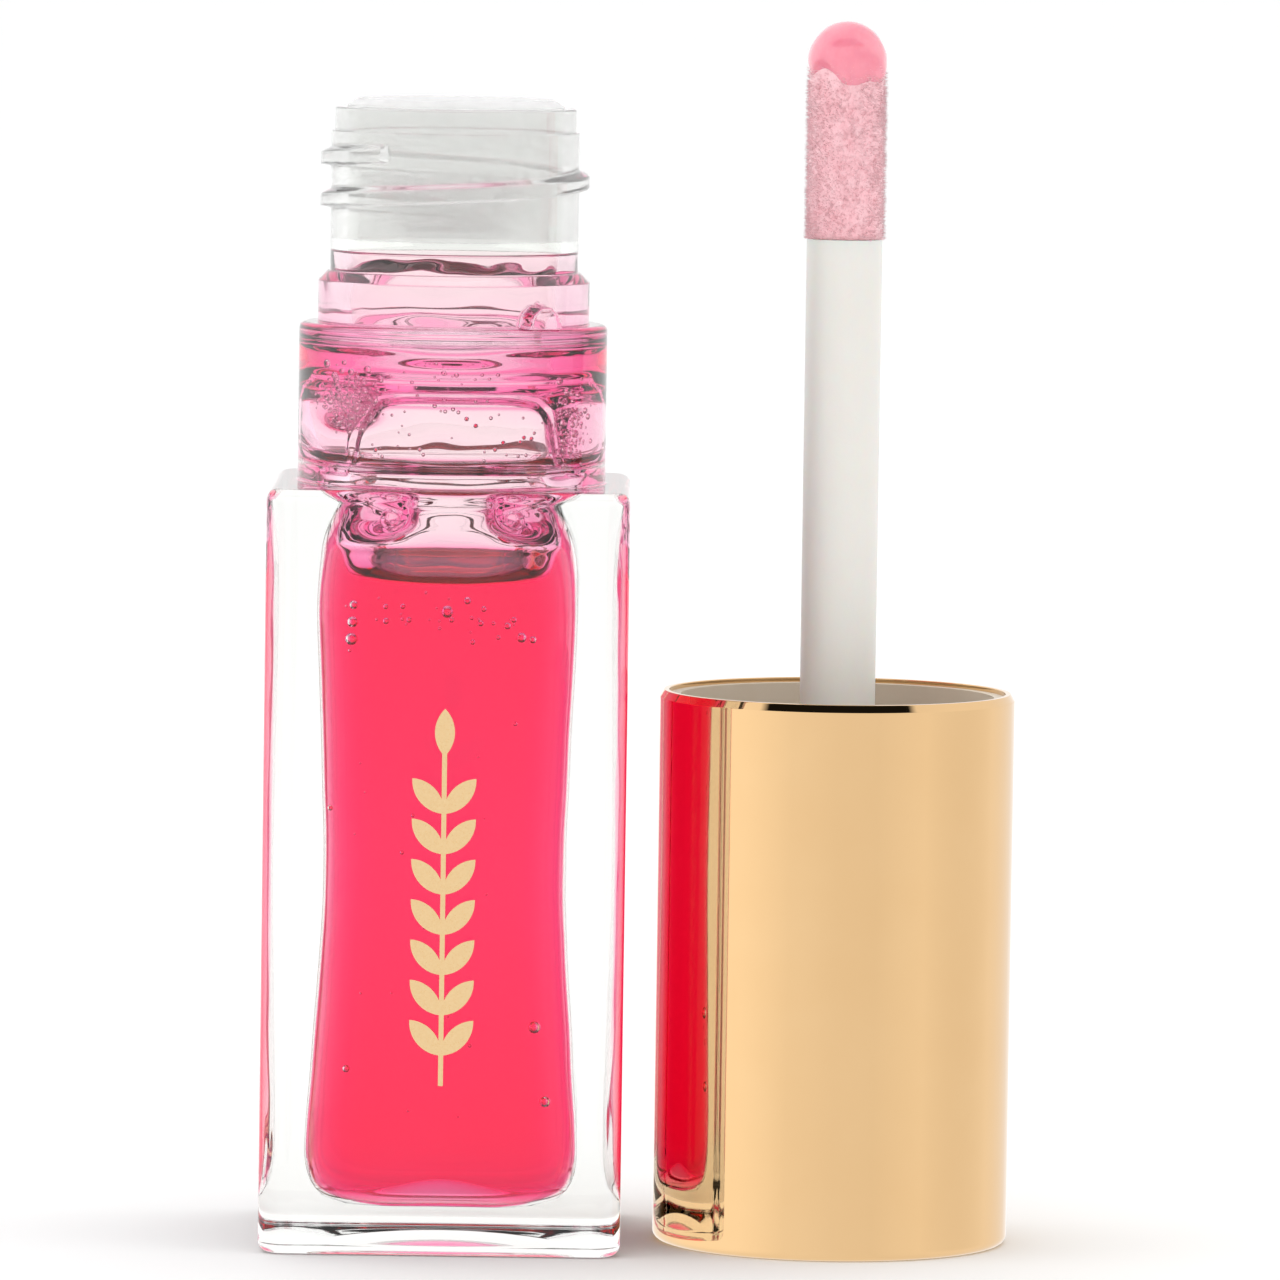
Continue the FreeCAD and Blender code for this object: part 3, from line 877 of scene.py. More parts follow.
@dataclass
class BottleForm:
    """Sizes of the bottle, outside and in."""

    half: float = 9.5
    height: float = 40.1
    corner: float = 1.4
    edge: float = 0.6
    dish: float = 6.2
    dish_depth: float = 0.45
    collar: float = 8.15
    collar_top: float = 48.5
    collar_edge: float = 0.35
    ring: float = 7.175
    ring_top: float = 51.2
    ring_bevel: float = 0.5
    lip: float = 6.375
    land: float = 58.6
    top: float = 59.85
    bore: float = 5.675
    seat: float = 0.015
    hollow: float = 7.25
    hollow_low: float = 41.0
    hollow_high: float = 47.7
    throat: float = 5.75
    floor: float = 2.3
    lug_direction: float = -52.0
    lug_half: float = 1.1
    lug_height: float = 1.2
    thread: Thread = field(default_factory=Thread)
    cavity: tuple[tuple[float, float, float], ...] = (
        (2.3, 10.6, 3.0),
        (2.75, 12.6, 3.2),
        (3.9, 13.9, 3.3),
        (5.6, 14.2, 3.3),
        (11.0, 13.6, 3.2),
        (19.0, 12.7, 3.1),
        (27.0, 13.1, 3.1),
        (33.5, 13.6, 3.3),
        (37.0, 13.2, 4.2),
        (39.0, 11.7, 5.4),
    )

    def outer_relief(self, angle: float, z: float, radius: float) -> float:
        """Thread and lug on the outside.

        Args:
            angle: direction in radians.
            z: height in millimetres.
            radius: radius of the plain ring there.

        Returns:
            What stands out of the plain ring.
        """
        if z > self.ring_top + 0.05:
            return self.thread.rise(angle, z) if z < self.land else 0.0
        if not self.collar_top <= z <= self.collar_top + self.lug_height or radius > self.ring + 0.1:
            return 0.0
        away = math.radians(self.lug_direction) - angle
        away = (away + math.pi) % (2 * math.pi) - math.pi
        across = abs(away) * self.collar
        middle = self.collar_top + self.lug_height - self.lug_half
        width = math.sqrt(max(self.lug_half**2 - max(z - middle, 0.0) ** 2, 0.0))
        share = min(max((width - across) / 0.15 + 0.5, 0.0), 1.0)
        return (self.collar - radius - 0.02) * share

    def side_at(self, z: float) -> tuple[float, float]:
        """Half side and corner radius of the body's cavity at a height.

        Args:
            z: height in millimetres.

        Returns:
            Half side and corner radius.
        """
        table = self.cavity
        for number in range(len(table) - 1):
            (low, a, ra), (high, b, rb) = table[number], table[number + 1]
            if z <= high or number == len(table) - 2:
                t = min(max((z - low) / (high - low), 0.0), 1.0)
                before = table[max(number - 1, 0)]
                after = table[min(number + 2, len(table) - 1)]
                slope_a = (b - before[1]) / (high - before[0]) * (high - low) if number else (b - a)
                slope_b = (after[1] - a) / (after[0] - low) * (high - low)
                smooth = (
                    (2 * t**3 - 3 * t**2 + 1) * a
                    + (t**3 - 2 * t**2 + t) * slope_a
                    + (3 * t**2 - 2 * t**3) * b
                    + (t**3 - t**2) * slope_b
                )
                return smooth / 2, ra + (rb - ra) * t
        return table[-1][1] / 2, table[-1][2]

    @staticmethod
    def wave(angle: float, z: float, radius: float) -> float:
        """Slight waves of the moulded inner wall, stronger near the floor.

        Args:
            angle: direction in radians.
            z: height in millimetres.
            radius: radius of the plain wall there.

        Returns:
            What to add to the radius.
        """
        if z > 39.0 or radius < 0.5:
            return 0.0
        place = Vector((math.cos(angle) * radius, math.sin(angle) * radius, z))
        strength = 0.05 + 0.16 * max(0.0, 1 - (z - 2.0) / 7.0) + 0.10 * max(0.0, (z - 33.0) / 6.0)
        return strength * noise.noise(place / 3.2)

    def round_profile(self) -> list[tuple[float, float]]:
        """The inside's round part, from the neck's top down to the throat.

        Returns:
            Radius and height of each ring.
        """
        return rounded_path(
            [
                (self.bore - self.seat, self.top - 0.15, 0),
                (self.bore - self.seat, 52.7, 0),
                (self.bore, 52.5, 0),
                (self.bore, 52.2, 0),
                (self.bore, 51.0, 0),
                (self.bore, 49.5, 0),
                (self.bore, 48.4, 0),
                (self.bore, self.hollow_high, 0.25),
                (self.hollow, self.hollow_high, 1.0),
                (self.hollow, 46.0, 0),
                (self.hollow, 44.5, 0),
                (self.hollow, 42.8, 0),
                (self.hollow, self.hollow_low, 1.0),
                (self.throat, self.hollow_low, 0.35),
                (self.throat, 39.2, 0),
            ],
            steps=8,
        )

    def inner_path(self) -> list[tuple[float, float, bool]]:
        """The inner wall from the neck's bore down to the floor's middle.

        Returns:
            Radius or half side, height, and whether the ring is square.
        """
        path = [(across, up, False) for across, up in self.round_profile()]
        steps = 90
        for step in range(steps + 1):
            z = 39.0 + (self.floor + 0.02 - 39.0) * (step / steps)
            path.append((self.side_at(z)[0], z, True))
        for across in (4.6, 4.0, 3.4, 2.8, 2.2, 1.6, 1.0, 0.5):
            path.append((across, self.floor + self.floor_lift(across), False))
        return path

    def floor_lift(self, across: float) -> float:
        """Rise of the floor towards its middle.

        Args:
            across: distance from the axis.

        Returns:
            The rise there.
        """
        share = max(0.0, 1 - across / 5.2)
        return 0.9 * share * share * (3 - 2 * share)

    def inner_stations(self, swell: float, top: float | None = None) -> list[Station]:
        """Rings of the inner wall, from the neck down to the floor.

        Args:
            swell: how far to move the wall outwards.
            top: leave out the rings above this height.

        Returns:
            The rings.
        """
        path = [p for p in self.inner_path() if top is None or p[1] <= top]
        # the profile runs downwards, so its right-hand side is the axis
        moved = swollen([(across, up) for across, up, _ in path], -swell)
        stations = []
        for (across, up), (half, z, square) in zip(moved, path):
            corner = across
            if square:
                _, rounding = self.side_at(z)
                corner = min(rounding + across - half, across)
            stations.append(Station(up, Outline(across, corner)))
        return stations


@dataclass(frozen=True)
class BubbleCluster:
    """Where bubbles gather in the gloss."""

    direction: float
    reach: float
    z: float
    spread: tuple[float, float, float]
    count: int
    smallest: float
    largest: float


@dataclass(frozen=True)
class Drop:
    """A place where the coat of gloss on the wall is thicker, or thinner if it is below 0."""

    direction: float
    z: float
    spread: float
    reach: float
    thickness: float


@dataclass
class Bottle:
    """The bottle with its gloss, wiper and foil."""

    axis: Vector
    form: BottleForm = field(default_factory=BottleForm)
    body: Body = Body.BOTTLE
    overlap: float = 0.03
    gloss_top: float = 52.3
    level: float = 34.9
    lug_step: float = 0.1
    thread_step: float = 0.06
    seed: int = 7
    coat: tuple[tuple[float, float], ...] = (
        (52.25, 0.16),
        (51.5, 0.20),
        (49.5, 0.26),
        (48.3, 0.40),
        (47.6, 1.1),
        (46.9, 1.9),
        (46.2, 2.0),
        (45.5, 1.5),
        (44.9, 0.7),
        (44.3, 0.30),
        (43.0, 0.20),
        (41.9, 0.24),
        (41.2, 0.35),
        (40.2, 0.24),
        (39.0, 0.24),
        (38.0, 0.34),
        (37.2, 0.5),
        (36.4, 0.95),
    )
    bowl: tuple[tuple[float, float], ...] = (
        (36.0, 5.6),
        (35.6, 5.45),
        (35.3, 5.2),
        (35.1, 4.85),
        (34.98, 4.3),
        (34.93, 3.0),
        (34.92, 1.6),
    )
    drops: tuple[Drop, ...] = (
        Drop(-141.0, 44.3, 18.0, 1.1, 1.0),
        Drop(-26.0, 42.9, 15.0, 1.9, 0.9),
        Drop(-128.0, 38.6, 15.0, 0.8, 1.9),
        Drop(-47.0, 38.6, 15.0, 0.8, 1.9),
        Drop(-90.0, 47.0, 25.0, 0.5, -0.7),
        Drop(170.0, 40.0, 20.0, 1.6, 0.6),
        Drop(15.0, 40.0, 20.0, 1.6, 0.6),
    )
    clusters: tuple[BubbleCluster, ...] = (
        BubbleCluster(-139.0, 6.6, 44.4, (1.7, 1.4, 1.1), 260, 0.06, 0.24),
        BubbleCluster(-30.0, 6.7, 42.9, (0.9, 1.0, 1.9), 110, 0.06, 0.22),
        BubbleCluster(-90.0, 6.3, 46.0, (3.4, 0.4, 0.7), 16, 0.06, 0.16),
        BubbleCluster(-90.0, 5.9, 33.4, (4.6, 0.4, 1.0), 30, 0.06, 0.2),
        BubbleCluster(-90.0, 5.9, 20.0, (5.4, 0.4, 11.0), 22, 0.05, 0.12),
    )
    singles: tuple[tuple[float, float, float], ...] = (
        (-5.0, 32.2, 0.34),
        (-4.95, 33.1, 0.30),
        (-4.9, 34.0, 0.24),
        (0.0, 33.7, 0.34),
        (1.05, 34.3, 0.2),
        (3.9, 32.4, 0.28),
        (4.5, 32.3, 0.2),
        (4.85, 11.9, 0.34),
        (5.45, 8.0, 0.3),
        (-5.0, 9.6, 0.2),
        (-6.0, 23.3, 0.15),
    )
    dimples: tuple[tuple[float, float, float, float], ...] = (
        (-3.05, -3.9, 38.4, 0.62),
        (3.4, -3.65, 38.4, 0.62),
    )

    def build(self) -> list[bpy.types.Object]:
        """Build and dress every piece of the bottle.

        Returns:
            The pieces.
        """
        return [self.shell(), self.gloss(), self.wiper(), self.sprig()]

    def angles(self) -> list[float]:
        """Directions of the rings."""
        return square_angles(44, 12, self.form.half, self.form.corner)

    def shell(self) -> bpy.types.Object:
        """The clear bottle, outside and inside in one closed skin.

        Returns:
            The piece.
        """
        form = self.form
        stations = [
            round_at(form.dish_depth * (1 - (r / form.dish) ** 2), r)
            for r in (1.0, 2.0, 3.0, 4.0, 5.0, 5.8, form.dish)
        ]
        inner = form.half - form.corner
        lower = rounded_path(
            [(form.half - 1.2, 0.0, 0), (form.half, 0.0, form.edge), (form.half, 3.0, 0)], 6
        )
        upper = rounded_path(
            [
                (form.half, form.height - 3.0, 0),
                (form.half, form.height, form.edge),
                (form.half - 0.9, form.height, 0),
            ],
            6,
        )
        walls = lower + [(form.half, z) for z in range(4, 37, 2)] + upper
        stations += [Station(z, Outline(half, max(half - inner, 0.2))) for half, z in walls]
        wall = form.thread.wall
        stations += turned(
            [
                (form.collar + 0.35, form.height, 0),
                (form.collar, form.height, 0.15),
                (form.collar, form.collar_top, form.collar_edge),
                (form.ring, form.collar_top, 0.1),
                (form.ring, form.collar_top + 0.2, 0),
            ]
        )
        lug_rows = int((form.lug_height + 0.1 - 0.3) / self.lug_step)
        lug_foot = form.collar_top + 0.3
        stations += [round_at(lug_foot + self.lug_step * i, form.ring) for i in range(lug_rows + 1)]
        stations += turned(
            [
                (form.ring, form.ring_top - 1.2, 0),
                (form.ring, form.ring_top - form.ring_bevel, 0.12),
                (form.ring - form.ring_bevel, form.ring_top, 0.06),
                (wall, form.ring_top, 0.05),
                (wall, form.ring_top + 0.3, 0),
            ]
        )
        thread_foot = form.ring_top + 0.4
        rows = int((form.land - 0.2 - form.ring_top - 0.4) / self.thread_step)
        stations += [round_at(thread_foot + self.thread_step * i, wall) for i in range(rows + 1)]
        stations += turned(
            [
                (wall, form.land - 0.15, 0),
                (wall, form.land, 0.05),
                (form.lip, form.land, 0.05),
                (form.lip, form.top, 0.12),
                (form.bore - form.seat, form.top, 0.08),
                (form.bore - form.seat, form.top - 0.12, 0),
            ]
        )
        skin = Skin(self.axis, self.angles())
        inside = form.inner_stations(0.0)
        outer_count = len(stations)

        skin.sweep(stations, form.outer_relief, start=form.dish_depth)
        outer_faces = len(skin.faces)
        skin.sweep(inside, form.wave, end=form.floor + form.floor_lift(0.0))
        count = len(skin.angles)
        outer_last = (outer_count - 1) * count
        inner_first = outer_count * count + 1
        for i in range(count):
            j = (i + 1) % count
            skin.faces.append((outer_last + i, outer_last + j, inner_first + j, inner_first + i))
        made = skin.build("clear_bottle", ClearPlastic())
        wetted = ClearPlastic("wetted_clear_plastic", (1.0, 1.0, 1.0), mirror=0.05)
        made.data.materials.append(wetted.material())
        for face in made.data.polygons:
            height = face.center.z / MM
            reach = math.hypot(face.center.x - self.axis.x, face.center.y) / MM
            wet = face.index >= outer_faces and height < self.gloss_top and reach < form.half
            face.material_index = 1 if wet else 0
        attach(made, self.body.value)
        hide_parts("bottle")
        return made

    def gloss(self) -> bpy.types.Object:
        """The gloss, with the air in it.

        Returns:
            The piece.
        """
        form = self.form
        outside = list(reversed(form.inner_stations(self.overlap, self.gloss_top)))
        rim = form.bore + self.overlap
        outside += [round_at(self.gloss_top - step, rim) for step in (0.08, 0.03, 0.0)]
        skin = Skin(self.axis, self.angles())
        tip = form.floor + form.floor_lift(0.0) - self.overlap
        skin.sweep(outside, form.wave, start=tip)
        count = len(skin.angles)
        last = (len(outside) - 1) * count
        first = len(skin.points)
        skin.sweep(self.air_stations(), self.film_relief, end=self.level)
        for i in range(count):
            j = (i + 1) % count
            skin.faces.append((last + i, last + j, first + j, first + i))
        self.bubbles(skin)
        made = skin.build("pink_gloss", PinkGloss())
        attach(made, self.body.value)
        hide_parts("gloss_fill")
        return made

    def wall_at(self, z: float) -> tuple[float, float]:
        """The bottle's inside at a height.

        Args:
            z: height in millimetres.

        Returns:
            Half its width, and its corner radius.
        """
        form = self.form
        if z < 39.0:
            return form.side_at(z)
        profile = form.round_profile()
        for (across, up), (beyond, down) in zip(profile, profile[1:]):
            if down <= z <= up and up - down > 1e-6:
                radius = across + (beyond - across) * (up - z) / (up - down)
                return radius, radius
        return form.throat, form.throat

    def coat_at(self, z: float) -> float:
        """Thickness of the plain coat of gloss.

        Args:
            z: height in millimetres.

        Returns:
            The thickness there.
        """
        table = self.coat
        if z >= table[0][0]:
            return table[0][1]
        for (high, a), (low, b) in zip(table, table[1:]):
            if z >= low:
                share = (high - z) / (high - low)
                return a + (b - a) * share * share * (3 - 2 * share)
        return table[-1][1]

    def air_stations(self) -> list[Station]:
        """Rings of the gloss's inner surface, from the neck down to the middle of its level.

        Returns:
            The rings.
        """
        rows = int((self.gloss_top - 36.4) / 0.1) + 1
        heights = [self.gloss_top - 0.05 - 0.1 * i for i in range(rows)]
        halves = []
        for z in heights:
            half, corner = self.wall_at(z)
            coat = self.coat_at(z)
            halves.append((half - coat, min(max(corner - coat * 0.4, 0.5), half - coat)))
        for _ in range(3):
            inner = [
                tuple((a + 2 * b + c) / 4 for a, b, c in zip(before, here, after))
                for before, here, after in zip(halves, halves[1:], halves[2:])
            ]
            halves = [halves[0], *inner, halves[-1]]
        stations = [
            Station(z, Outline(half, min(corner, half))) for z, (half, corner) in zip(heights, halves)
        ]
        corner = halves[-1][1]
        for z, half in self.bowl:
            stations.append(Station(z, Outline(half, min(half, corner + (5.35 - half) * 0.6))))
        stations += [Station(self.level + 0.005, Outline(0.8, 0.8))]
        return stations

    def film_relief(self, angle: float, z: float, radius: float) -> float:
        """Uneven thickness of the coat, with its drops and the ridge round the clear window.

        Args:
            angle: direction in radians.
            z: height in millimetres.
            radius: radius of the plain surface there.

        Returns:
            What to add to the radius.
        """
        if radius < 2.0:
            return 0.0
        place = Vector((math.cos(angle) * radius, math.sin(angle) * radius, z))
        change = 0.06 * noise.noise(place / 1.9) + self.form.wave(angle, z, radius)
        for drop in self.drops:
            away = math.degrees(angle) - drop.direction
            away = (away + 180) % 360 - 180
            near = (away / drop.spread) ** 2 + ((z - drop.z) / drop.reach) ** 2
            if near < 9:
                change -= drop.thickness * math.exp(-near)
        if place.y < 0 and 40.6 < z < 45.6:
            rim = (abs(place.x - 0.3) / 5.1) ** 5 + (max(z - 39.5, 0) / 5.4) ** 5
            change -= 0.22 * math.exp(-(((rim**0.2 - 1.0) / 0.035) ** 2))
            change -= 0.20 * min(max((rim**0.2 - 1.0) / 0.08, 0.0), 1.0)
        return max(change, 2.3 - radius)

    def bubbles(self, skin: Skin) -> None:
        """Add air bubbles to the gloss: small closed skins that face inwards.

        Args:
            skin: the gloss's skin.
        """
        chance = random.Random(self.seed)
        placed = [(Vector(place[:3]), place[3]) for place in self.dimples]
        for across, up, radius in self.singles:
            wall = self.form.side_at(up)[0]
            placed.append((Vector((across, -wall + radius + 0.35, up)), radius))
        for cluster in self.clusters:
            turn = math.radians(cluster.direction)
            reach = cluster.reach
            middle = Vector((math.cos(turn) * reach, math.sin(turn) * reach, cluster.z))
            for _ in range(cluster.count):
                for _attempt in range(30):
                    shift = Vector([chance.gauss(0, 0.6) * s for s in cluster.spread])
                    spare = cluster.largest - cluster.smallest
                    radius = cluster.smallest + spare * chance.random() ** 2
                    if self.fits(middle + shift, radius, placed):
                        placed.append((middle + shift, radius))
                        break
        for _ in range(60):
            radius = chance.uniform(0.05, 0.13)
            turn = math.radians(chance.uniform(-135, -50))
            up = chance.uniform(41.6, 45.0)
            reach = self.form.hollow - 0.05 - radius
            centre = Vector((math.cos(turn) * reach, math.sin(turn) * reach, up))
            if all((centre - c).length > radius + r + 0.02 for c, r in placed):
                placed.append((centre, radius))
        for centre, radius in placed:
            self.add_bubble(skin, centre, radius)
        LOG.info("gloss holds %d bubbles", len(placed))

    def fits(self, centre: Vector, radius: float, placed: Iterable[tuple[Vector, float]]) -> bool:
        """Whether a bubble lies inside the gloss and clear of the others.

        Args:
            centre: its centre.
            radius: its radius.
            placed: the bubbles so far.

        Returns:
            True if it fits.
        """
        turn = math.atan2(centre.y, centre.x)
        reach = math.hypot(centre.x, centre.y)
        half, corner = self.wall_at(centre.z)
        wall = Outline(half, min(corner, half)).radius(turn) - 0.25 * (centre.z < 39.0)
        if reach + radius + 0.04 > wall or centre.z + radius > self.form.hollow_high - 0.3:
            return False
        if centre.z + radius > self.level - 0.1:
            inner = half - self.coat_at(centre.z)
            film = inner + self.film_relief(turn, centre.z, inner)
            if reach - radius - 0.04 < film:
                return False
        return all((centre - c).length > radius + r + 0.02 for c, r in placed)

    @staticmethod
    def add_bubble(skin: Skin, centre: Vector, radius: float) -> None:
        """Add one bubble, its faces turned towards its middle.

        Args:
            skin: the gloss's skin.
            centre: the bubble's centre.
            radius: its radius.
        """
        around = 20 if radius > 0.5 else 10
        rows = around // 2
        first = len(skin.points)
        for row in range(1, rows):
            tilt = math.pi * row / rows
            for i in range(around):
                turn = 2 * math.pi * i / around
                skin.points.append(
                    (
                        centre.x + radius * math.sin(tilt) * math.cos(turn),
                        centre.y + radius * math.sin(tilt) * math.sin(turn),
                        centre.z + radius * math.cos(tilt),
                    )
                )
        skin.points.append((centre.x, centre.y, centre.z + radius))
        skin.points.append((centre.x, centre.y, centre.z - radius))
        top, bottom = len(skin.points) - 2, len(skin.points) - 1
        last = first + (rows - 2) * around
        for i in range(around):
            j = (i + 1) % around
            skin.faces.append((top, first + j, first + i))
            skin.faces.append((bottom, last + i, last + j))
            for row in range(rows - 2):
                a = first + row * around
                skin.faces.append((a + i, a + j, a + around + j, a + around + i))

    def wiper(self) -> bpy.types.Object:
        """The milky wiper in the neck keeps its solid."""
        return dress("wiper", MilkyPlastic())

    def sprig(self) -> bpy.types.Object:
        """The foil sprig on the front keeps its solid."""
        return dress("foil_sprig", GoldFoil())


def dress(node: str, finish: Finish) -> bpy.types.Object:
    """Give a CAD node its finish.

    Args:
        node: the node's name.
        finish: its finish.

    Returns:
        The node's object.
    """
    piece = bpy.data.objects[node]
    piece.data.materials.clear()
    piece.data.materials.append(finish.material())
    return piece


# ---- cap and wand ------------------------------------------------------------------------------------


@dataclass
class Cap:
    """The gold cap with its liner and weight."""

    axis: Vector
    body: Body = Body.CAP
    radius: float = 9.4
    wall: float = 0.5
    end: float = 0.6
    end_edge: float = 0.45
    height: float = 29.25
    bevel: float = 0.4
    bevel_depth: float = 0.22

    def build(self) -> list[bpy.types.Object]:
        """Build and dress every piece of the cap.

        Returns:
            The pieces.
        """
        liner = MouldedPlastic()
        return [
            self.shell(),
            dress("inner_cap", liner),
            dress("cap_weight", TurnedSteel(axis_x=self.axis.x)),
        ]

    def shell(self) -> bpy.types.Object:
        """The gold shell, turned in one piece.

        Returns:
            The piece.
        """
        inner = self.radius - self.wall
        stations = turned(
            [
                (0.8, 0.0, 0),
                (self.radius, 0.0, self.end_edge),
                (self.radius, self.height - self.bevel, 0.05),
                (self.radius - self.bevel_depth, self.height, 0.04),
                (inner, self.height, 0.05),
                (inner, self.end, 0.2),
                (0.8, self.end, 0),
            ],
            6,
        )
        skin = Skin(self.axis, even_angles(256))
        skin.sweep(stations, start=0.0, end=self.end)
        made = skin.build("gold_shell", MirrorGold())
        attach(made, self.body.value)
        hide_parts("cap_shell")
        return made


@dataclass
class Wand:
    """The stem with its flocked applicator."""

    axis: Vector
    body: Body = Body.CAP
    low: float = 53.2
    centre: float = 62.5
    flock: float = 2.0
    core: float = 1.7
    coat: float = 2.2
    coat_side: float = 2.12
    coat_low: float = 60.6
    fibres: int = 15000
    fibre: float = 0.27
    fibre_half: float = 0.022
    seed: int = 11

    def build(self) -> list[bpy.types.Object]:
        """Build and dress every piece of the wand.

        Returns:
            The pieces.
        """
        stem = MouldedPlastic("moulded_stem", (0.76, 0.745, 0.70), (0.79, 0.775, 0.735), 0.3, 0.3)
        core = MouldedPlastic("moulded_core", (0.78, 0.75, 0.72), (0.82, 0.80, 0.77), 0.4, 0.0)
        return [
            dress("wand_stem", stem),
            dress("applicator_core", core),
            self.flocking(),
            self.wet_tip(),
        ]

    def surface_point(self, share: float, turn: float, radius: float) -> tuple[Vector, Vector]:
        """A point on the applicator and the way out there.

        Args:
            share: 0 at its lower end, 1 at its tip.
            turn: direction in radians.
            radius: radius of the surface.

        Returns:
            The point and the outward direction.
        """
        straight = self.centre - self.low
        arc = radius * math.pi / 2
        travel = share * (straight + arc)
        across = Vector((math.cos(turn), math.sin(turn), 0.0))
        if travel < straight:
            return across * radius + Vector((0, 0, self.low + travel)), across
        tilt = (travel - straight) / radius
        way = across * math.cos(tilt) + Vector((0, 0, math.sin(tilt)))
        return way * radius + Vector((0, 0, self.centre)), way

    def flocking(self) -> bpy.types.Object:
        """The flocked sleeve: a soft bed with thousands of short fibres.

        Returns:
            The piece.
        """
        skin = Skin(self.axis, even_angles(48))
        foot = self.low + 0.02
        bed = [round_at(foot, self.core + 0.01), round_at(foot, self.flock - 0.12)]
        for i in range(1, 25):
            bed.append(round_at(self.low + (self.centre - self.low) * i / 24, self.flock - 0.05))
        for i in range(1, 10):
            tilt = math.pi / 2 * i / 10
            radius = self.flock - 0.05
            bed.append(round_at(self.centre + radius * math.sin(tilt), radius * math.cos(tilt)))

        def uneven(angle: float, z: float, radius: float) -> float:
            """Soft lumps of the bed.

            Args:
                angle: direction in radians.
                z: height in millimetres.
                radius: radius of the plain bed there.

            Returns:
                What to add to the radius.
            """
            place = Vector((math.cos(angle) * radius, math.sin(angle) * radius, z))
            return 0.05 * noise.noise(place / 0.7)

        skin.sweep(bed, uneven, end=self.centre + self.flock - 0.05)
        chance = random.Random(self.seed)
        for _ in range(self.fibres):
            share = chance.random()
            point, way = self.surface_point(share, chance.uniform(0, 2 * math.pi), self.flock - 0.06)
            if point.z > self.coat_low + 1.2 + chance.uniform(-0.5, 0.6):
                continue
            lean = Vector([chance.gauss(0, 0.5) for _ in range(3)]) + Vector((0, 0, 0.25))
            tip = point + (way + lean * 0.6).normalized() * self.fibre * chance.uniform(0.6, 1.25)
            side = way.cross(Vector((0.3, 0.2, 1.0))).normalized() * self.fibre_half
            other = way.cross(side).normalized() * self.fibre_half
            first = len(skin.points)
            middle = point - side * 0.5
            for corner in (point + side, middle + other, middle - other, tip):
                skin.points.append(tuple(corner))
            skin.faces.extend(
                [
                    (first, first + 1, first + 3),
                    (first + 1, first + 2, first + 3),
                    (first + 2, first, first + 3),
                ]
            )
        made = skin.build("flocked_sleeve", PinkFlock())
        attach(made, self.body.value)
        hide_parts("applicator_flock")
        return made

    def wet_tip(self) -> bpy.types.Object:
        """The film of wet gloss that wraps the applicator's tip.

        Returns:
            The piece.
        """
        skin = Skin(self.axis, even_angles(96))
        rings = []
        for i in range(28):
            z = self.coat_low - 0.4 + (self.centre - self.coat_low + 0.4) * i / 27
            rings.append(round_at(z, self.coat_side))
        for i in range(1, 20):
            tilt = math.pi / 2 * i / 20
            up = self.centre + self.coat * math.sin(tilt)
            rings.append(round_at(up, self.coat_side * math.cos(tilt)))

        def drip(angle: float, z: float, radius: float) -> float:
            """The film thins out at an uneven edge and is lumpy above it.

            Args:
                angle: direction in radians.
                z: height in millimetres.
                radius: radius of the plain film there.

            Returns:
                What to add to the radius.
            """
            place = Vector((math.cos(angle) * 2, math.sin(angle) * 2, z))
            edge = self.coat_low + 0.5 + 0.35 * math.sin(2 * angle + 0.6) + 0.2 * math.sin(5 * angle)
            share = min(max((z - edge) / 1.3, 0.0), 1.0)
            share *= share * (3 - 2 * share)
            lumps = -0.07 * abs(noise.noise(place / 1.3)) * min(1.0, radius)
            return lumps - 0.30 * (1 - share)

        skin.sweep(rings, drip, start=self.coat_low - 0.2, end=self.centre + self.coat)
        made = skin.build("wet_tip", WetGloss())
        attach(made, self.body.value)
        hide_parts("tip_gloss")
        return made


# ---- studio ------------------------------------------------------------------------------------------


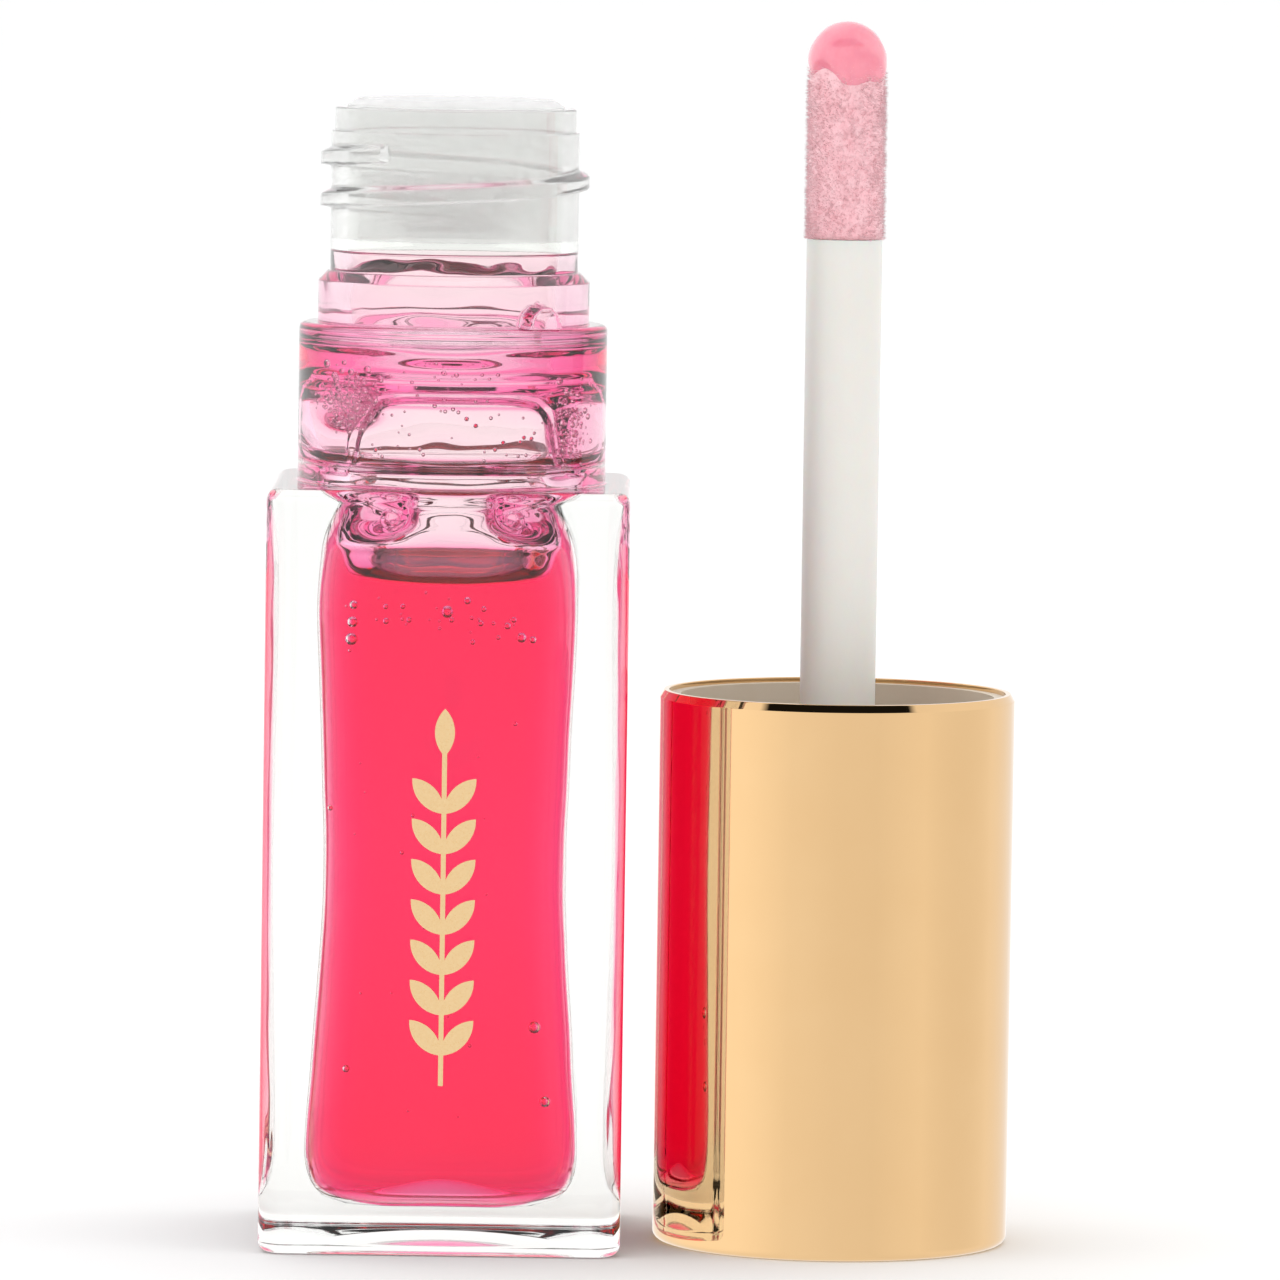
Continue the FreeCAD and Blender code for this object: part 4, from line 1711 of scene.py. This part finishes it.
@dataclass
class Studio:
    """Floor, light and camera."""

    middle: Vector
    aim: Vector
    distance: float = 597.0
    pitch: float = 4.44
    roll: float = 0.83
    lens: float = 317.0
    floor_side: float = 30.0
    brightness: float = 1.12
    tones: tuple[tuple[float, float], ...] = (
        (0.0, 1.25),
        (0.06, 1.22),
        (0.25, 1.06),
        (0.5, 0.99),
        (0.72, 0.97),
        (0.93, 1.05),
        (1.0, 0.97),
    )

    def build(self) -> None:
        """Set up the studio."""
        self.floor()
        self.world()
        self.overhead()
        self.camera()
        scene = bpy.context.scene
        scene.view_settings.view_transform = "Standard"
        scene.cycles.max_bounces = 40
        scene.cycles.transmission_bounces = 40
        scene.cycles.transparent_max_bounces = 24

    def floor(self) -> None:
        """A plain pale floor."""
        mesh = bpy.data.meshes.new("floor")
        reach = self.floor_side / 2
        corners = [(-reach, -reach, 0), (reach, -reach, 0), (reach, reach, 0), (-reach, reach, 0)]
        mesh.from_pydata(corners, [], [(0, 1, 2, 3)])
        mesh.materials.append(PaleTable().material())
        made = bpy.data.objects.new("floor", mesh)
        made.location.z = -0.00002
        made.visible_glossy = False
        bpy.context.scene.collection.objects.link(made)

    def world(self) -> None:
        """Even white surroundings with a dark gap high in front, between the softboxes."""
        world = bpy.data.worlds.new("studio")
        world.use_nodes = True
        recipe = Recipe(world.node_tree)
        way = recipe.node("ShaderNodeTexCoord", output="Generated")
        split = {
            axis: recipe.node("ShaderNodeSeparateXYZ", inputs={0: way}, output=axis)
            for axis in ("X", "Y", "Z")
        }
        high = split["Z"].between(0.66, 0.72) * split["Z"].between(0.93, 0.88)
        ahead = (split["Y"] * -1.0).between(0.30, 0.36)
        gap = high * ahead
        round_about = recipe.node(
            "ShaderNodeValToRGB",
            {"stops": [(place, (tone, tone, tone)) for place, tone in self.tones]},
            {"Fac": split["X"].between(-1.0, 1.0)},
        )
        tone = recipe.mix(gap, round_about, (0.01, 0.01, 0.01))
        background = recipe.node(
            "ShaderNodeBackground", inputs={"Color": tone, "Strength": self.brightness}
        )
        recipe.node("ShaderNodeOutputWorld", inputs={"Surface": background})
        bpy.context.scene.world = world

    def overhead(self) -> None:
        """A broad soft light above, which only matt surfaces feel."""
        data = bpy.data.lights.new("overhead", "AREA")
        data.shape = "DISK"
        data.size = 1.2
        data.energy = 2.0
        light = bpy.data.objects.new("overhead", data)
        light.location = self.middle + Vector((-0.2, -0.3, 0.9))
        light.rotation_euler = (self.middle - light.location).to_track_quat("-Z", "Y").to_euler()
        light.visible_glossy = False
        light.visible_transmission = False
        bpy.context.scene.collection.objects.link(light)

    def camera(self) -> None:
        """The camera, slightly above the object and turned a little about its own axis."""
        data = bpy.data.cameras.new("camera")
        data.lens = self.lens
        data.sensor_width = 36.0
        data.clip_end = 100.0
        made = bpy.data.objects.new("camera", data)
        tilt = math.radians(self.pitch)
        away = Vector((0.0, -math.cos(tilt), math.sin(tilt))) * self.distance * MM
        spin = (-away).to_track_quat("-Z", "Y").to_matrix().to_4x4()
        roll = Matrix.Rotation(math.radians(self.roll), 4, "Z")
        made.matrix_world = Matrix.Translation(self.aim + away) @ spin @ roll
        bpy.context.scene.collection.objects.link(made)
        bpy.context.scene.camera = made


# ---- the whole object --------------------------------------------------------------------------------


def axis_of(node: str) -> Vector:
    """The upright axis through a round or square node, at floor height.

    Args:
        node: the node's name.

    Returns:
        A point on the axis, at height 0.
    """
    low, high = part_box(node)
    return Vector(((low.x + high.x) / 2, (low.y + high.y) / 2, 0.0))


def main() -> None:
    """Build the object in order."""
    logging.basicConfig(level=logging.INFO, format="%(message)s")
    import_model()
    bottle_axis = axis_of("bottle")
    cap_axis = axis_of("cap_shell")
    pieces = Bottle(bottle_axis).build()
    pieces += Cap(cap_axis).build()
    pieces += Wand(cap_axis).build()
    middle = (bottle_axis + cap_axis) / 2
    aim = bottle_axis + Vector((10.1 * MM, 0.0, 31.8 * MM))
    Studio(middle, aim).build()


if __name__ == "__main__":
    main()
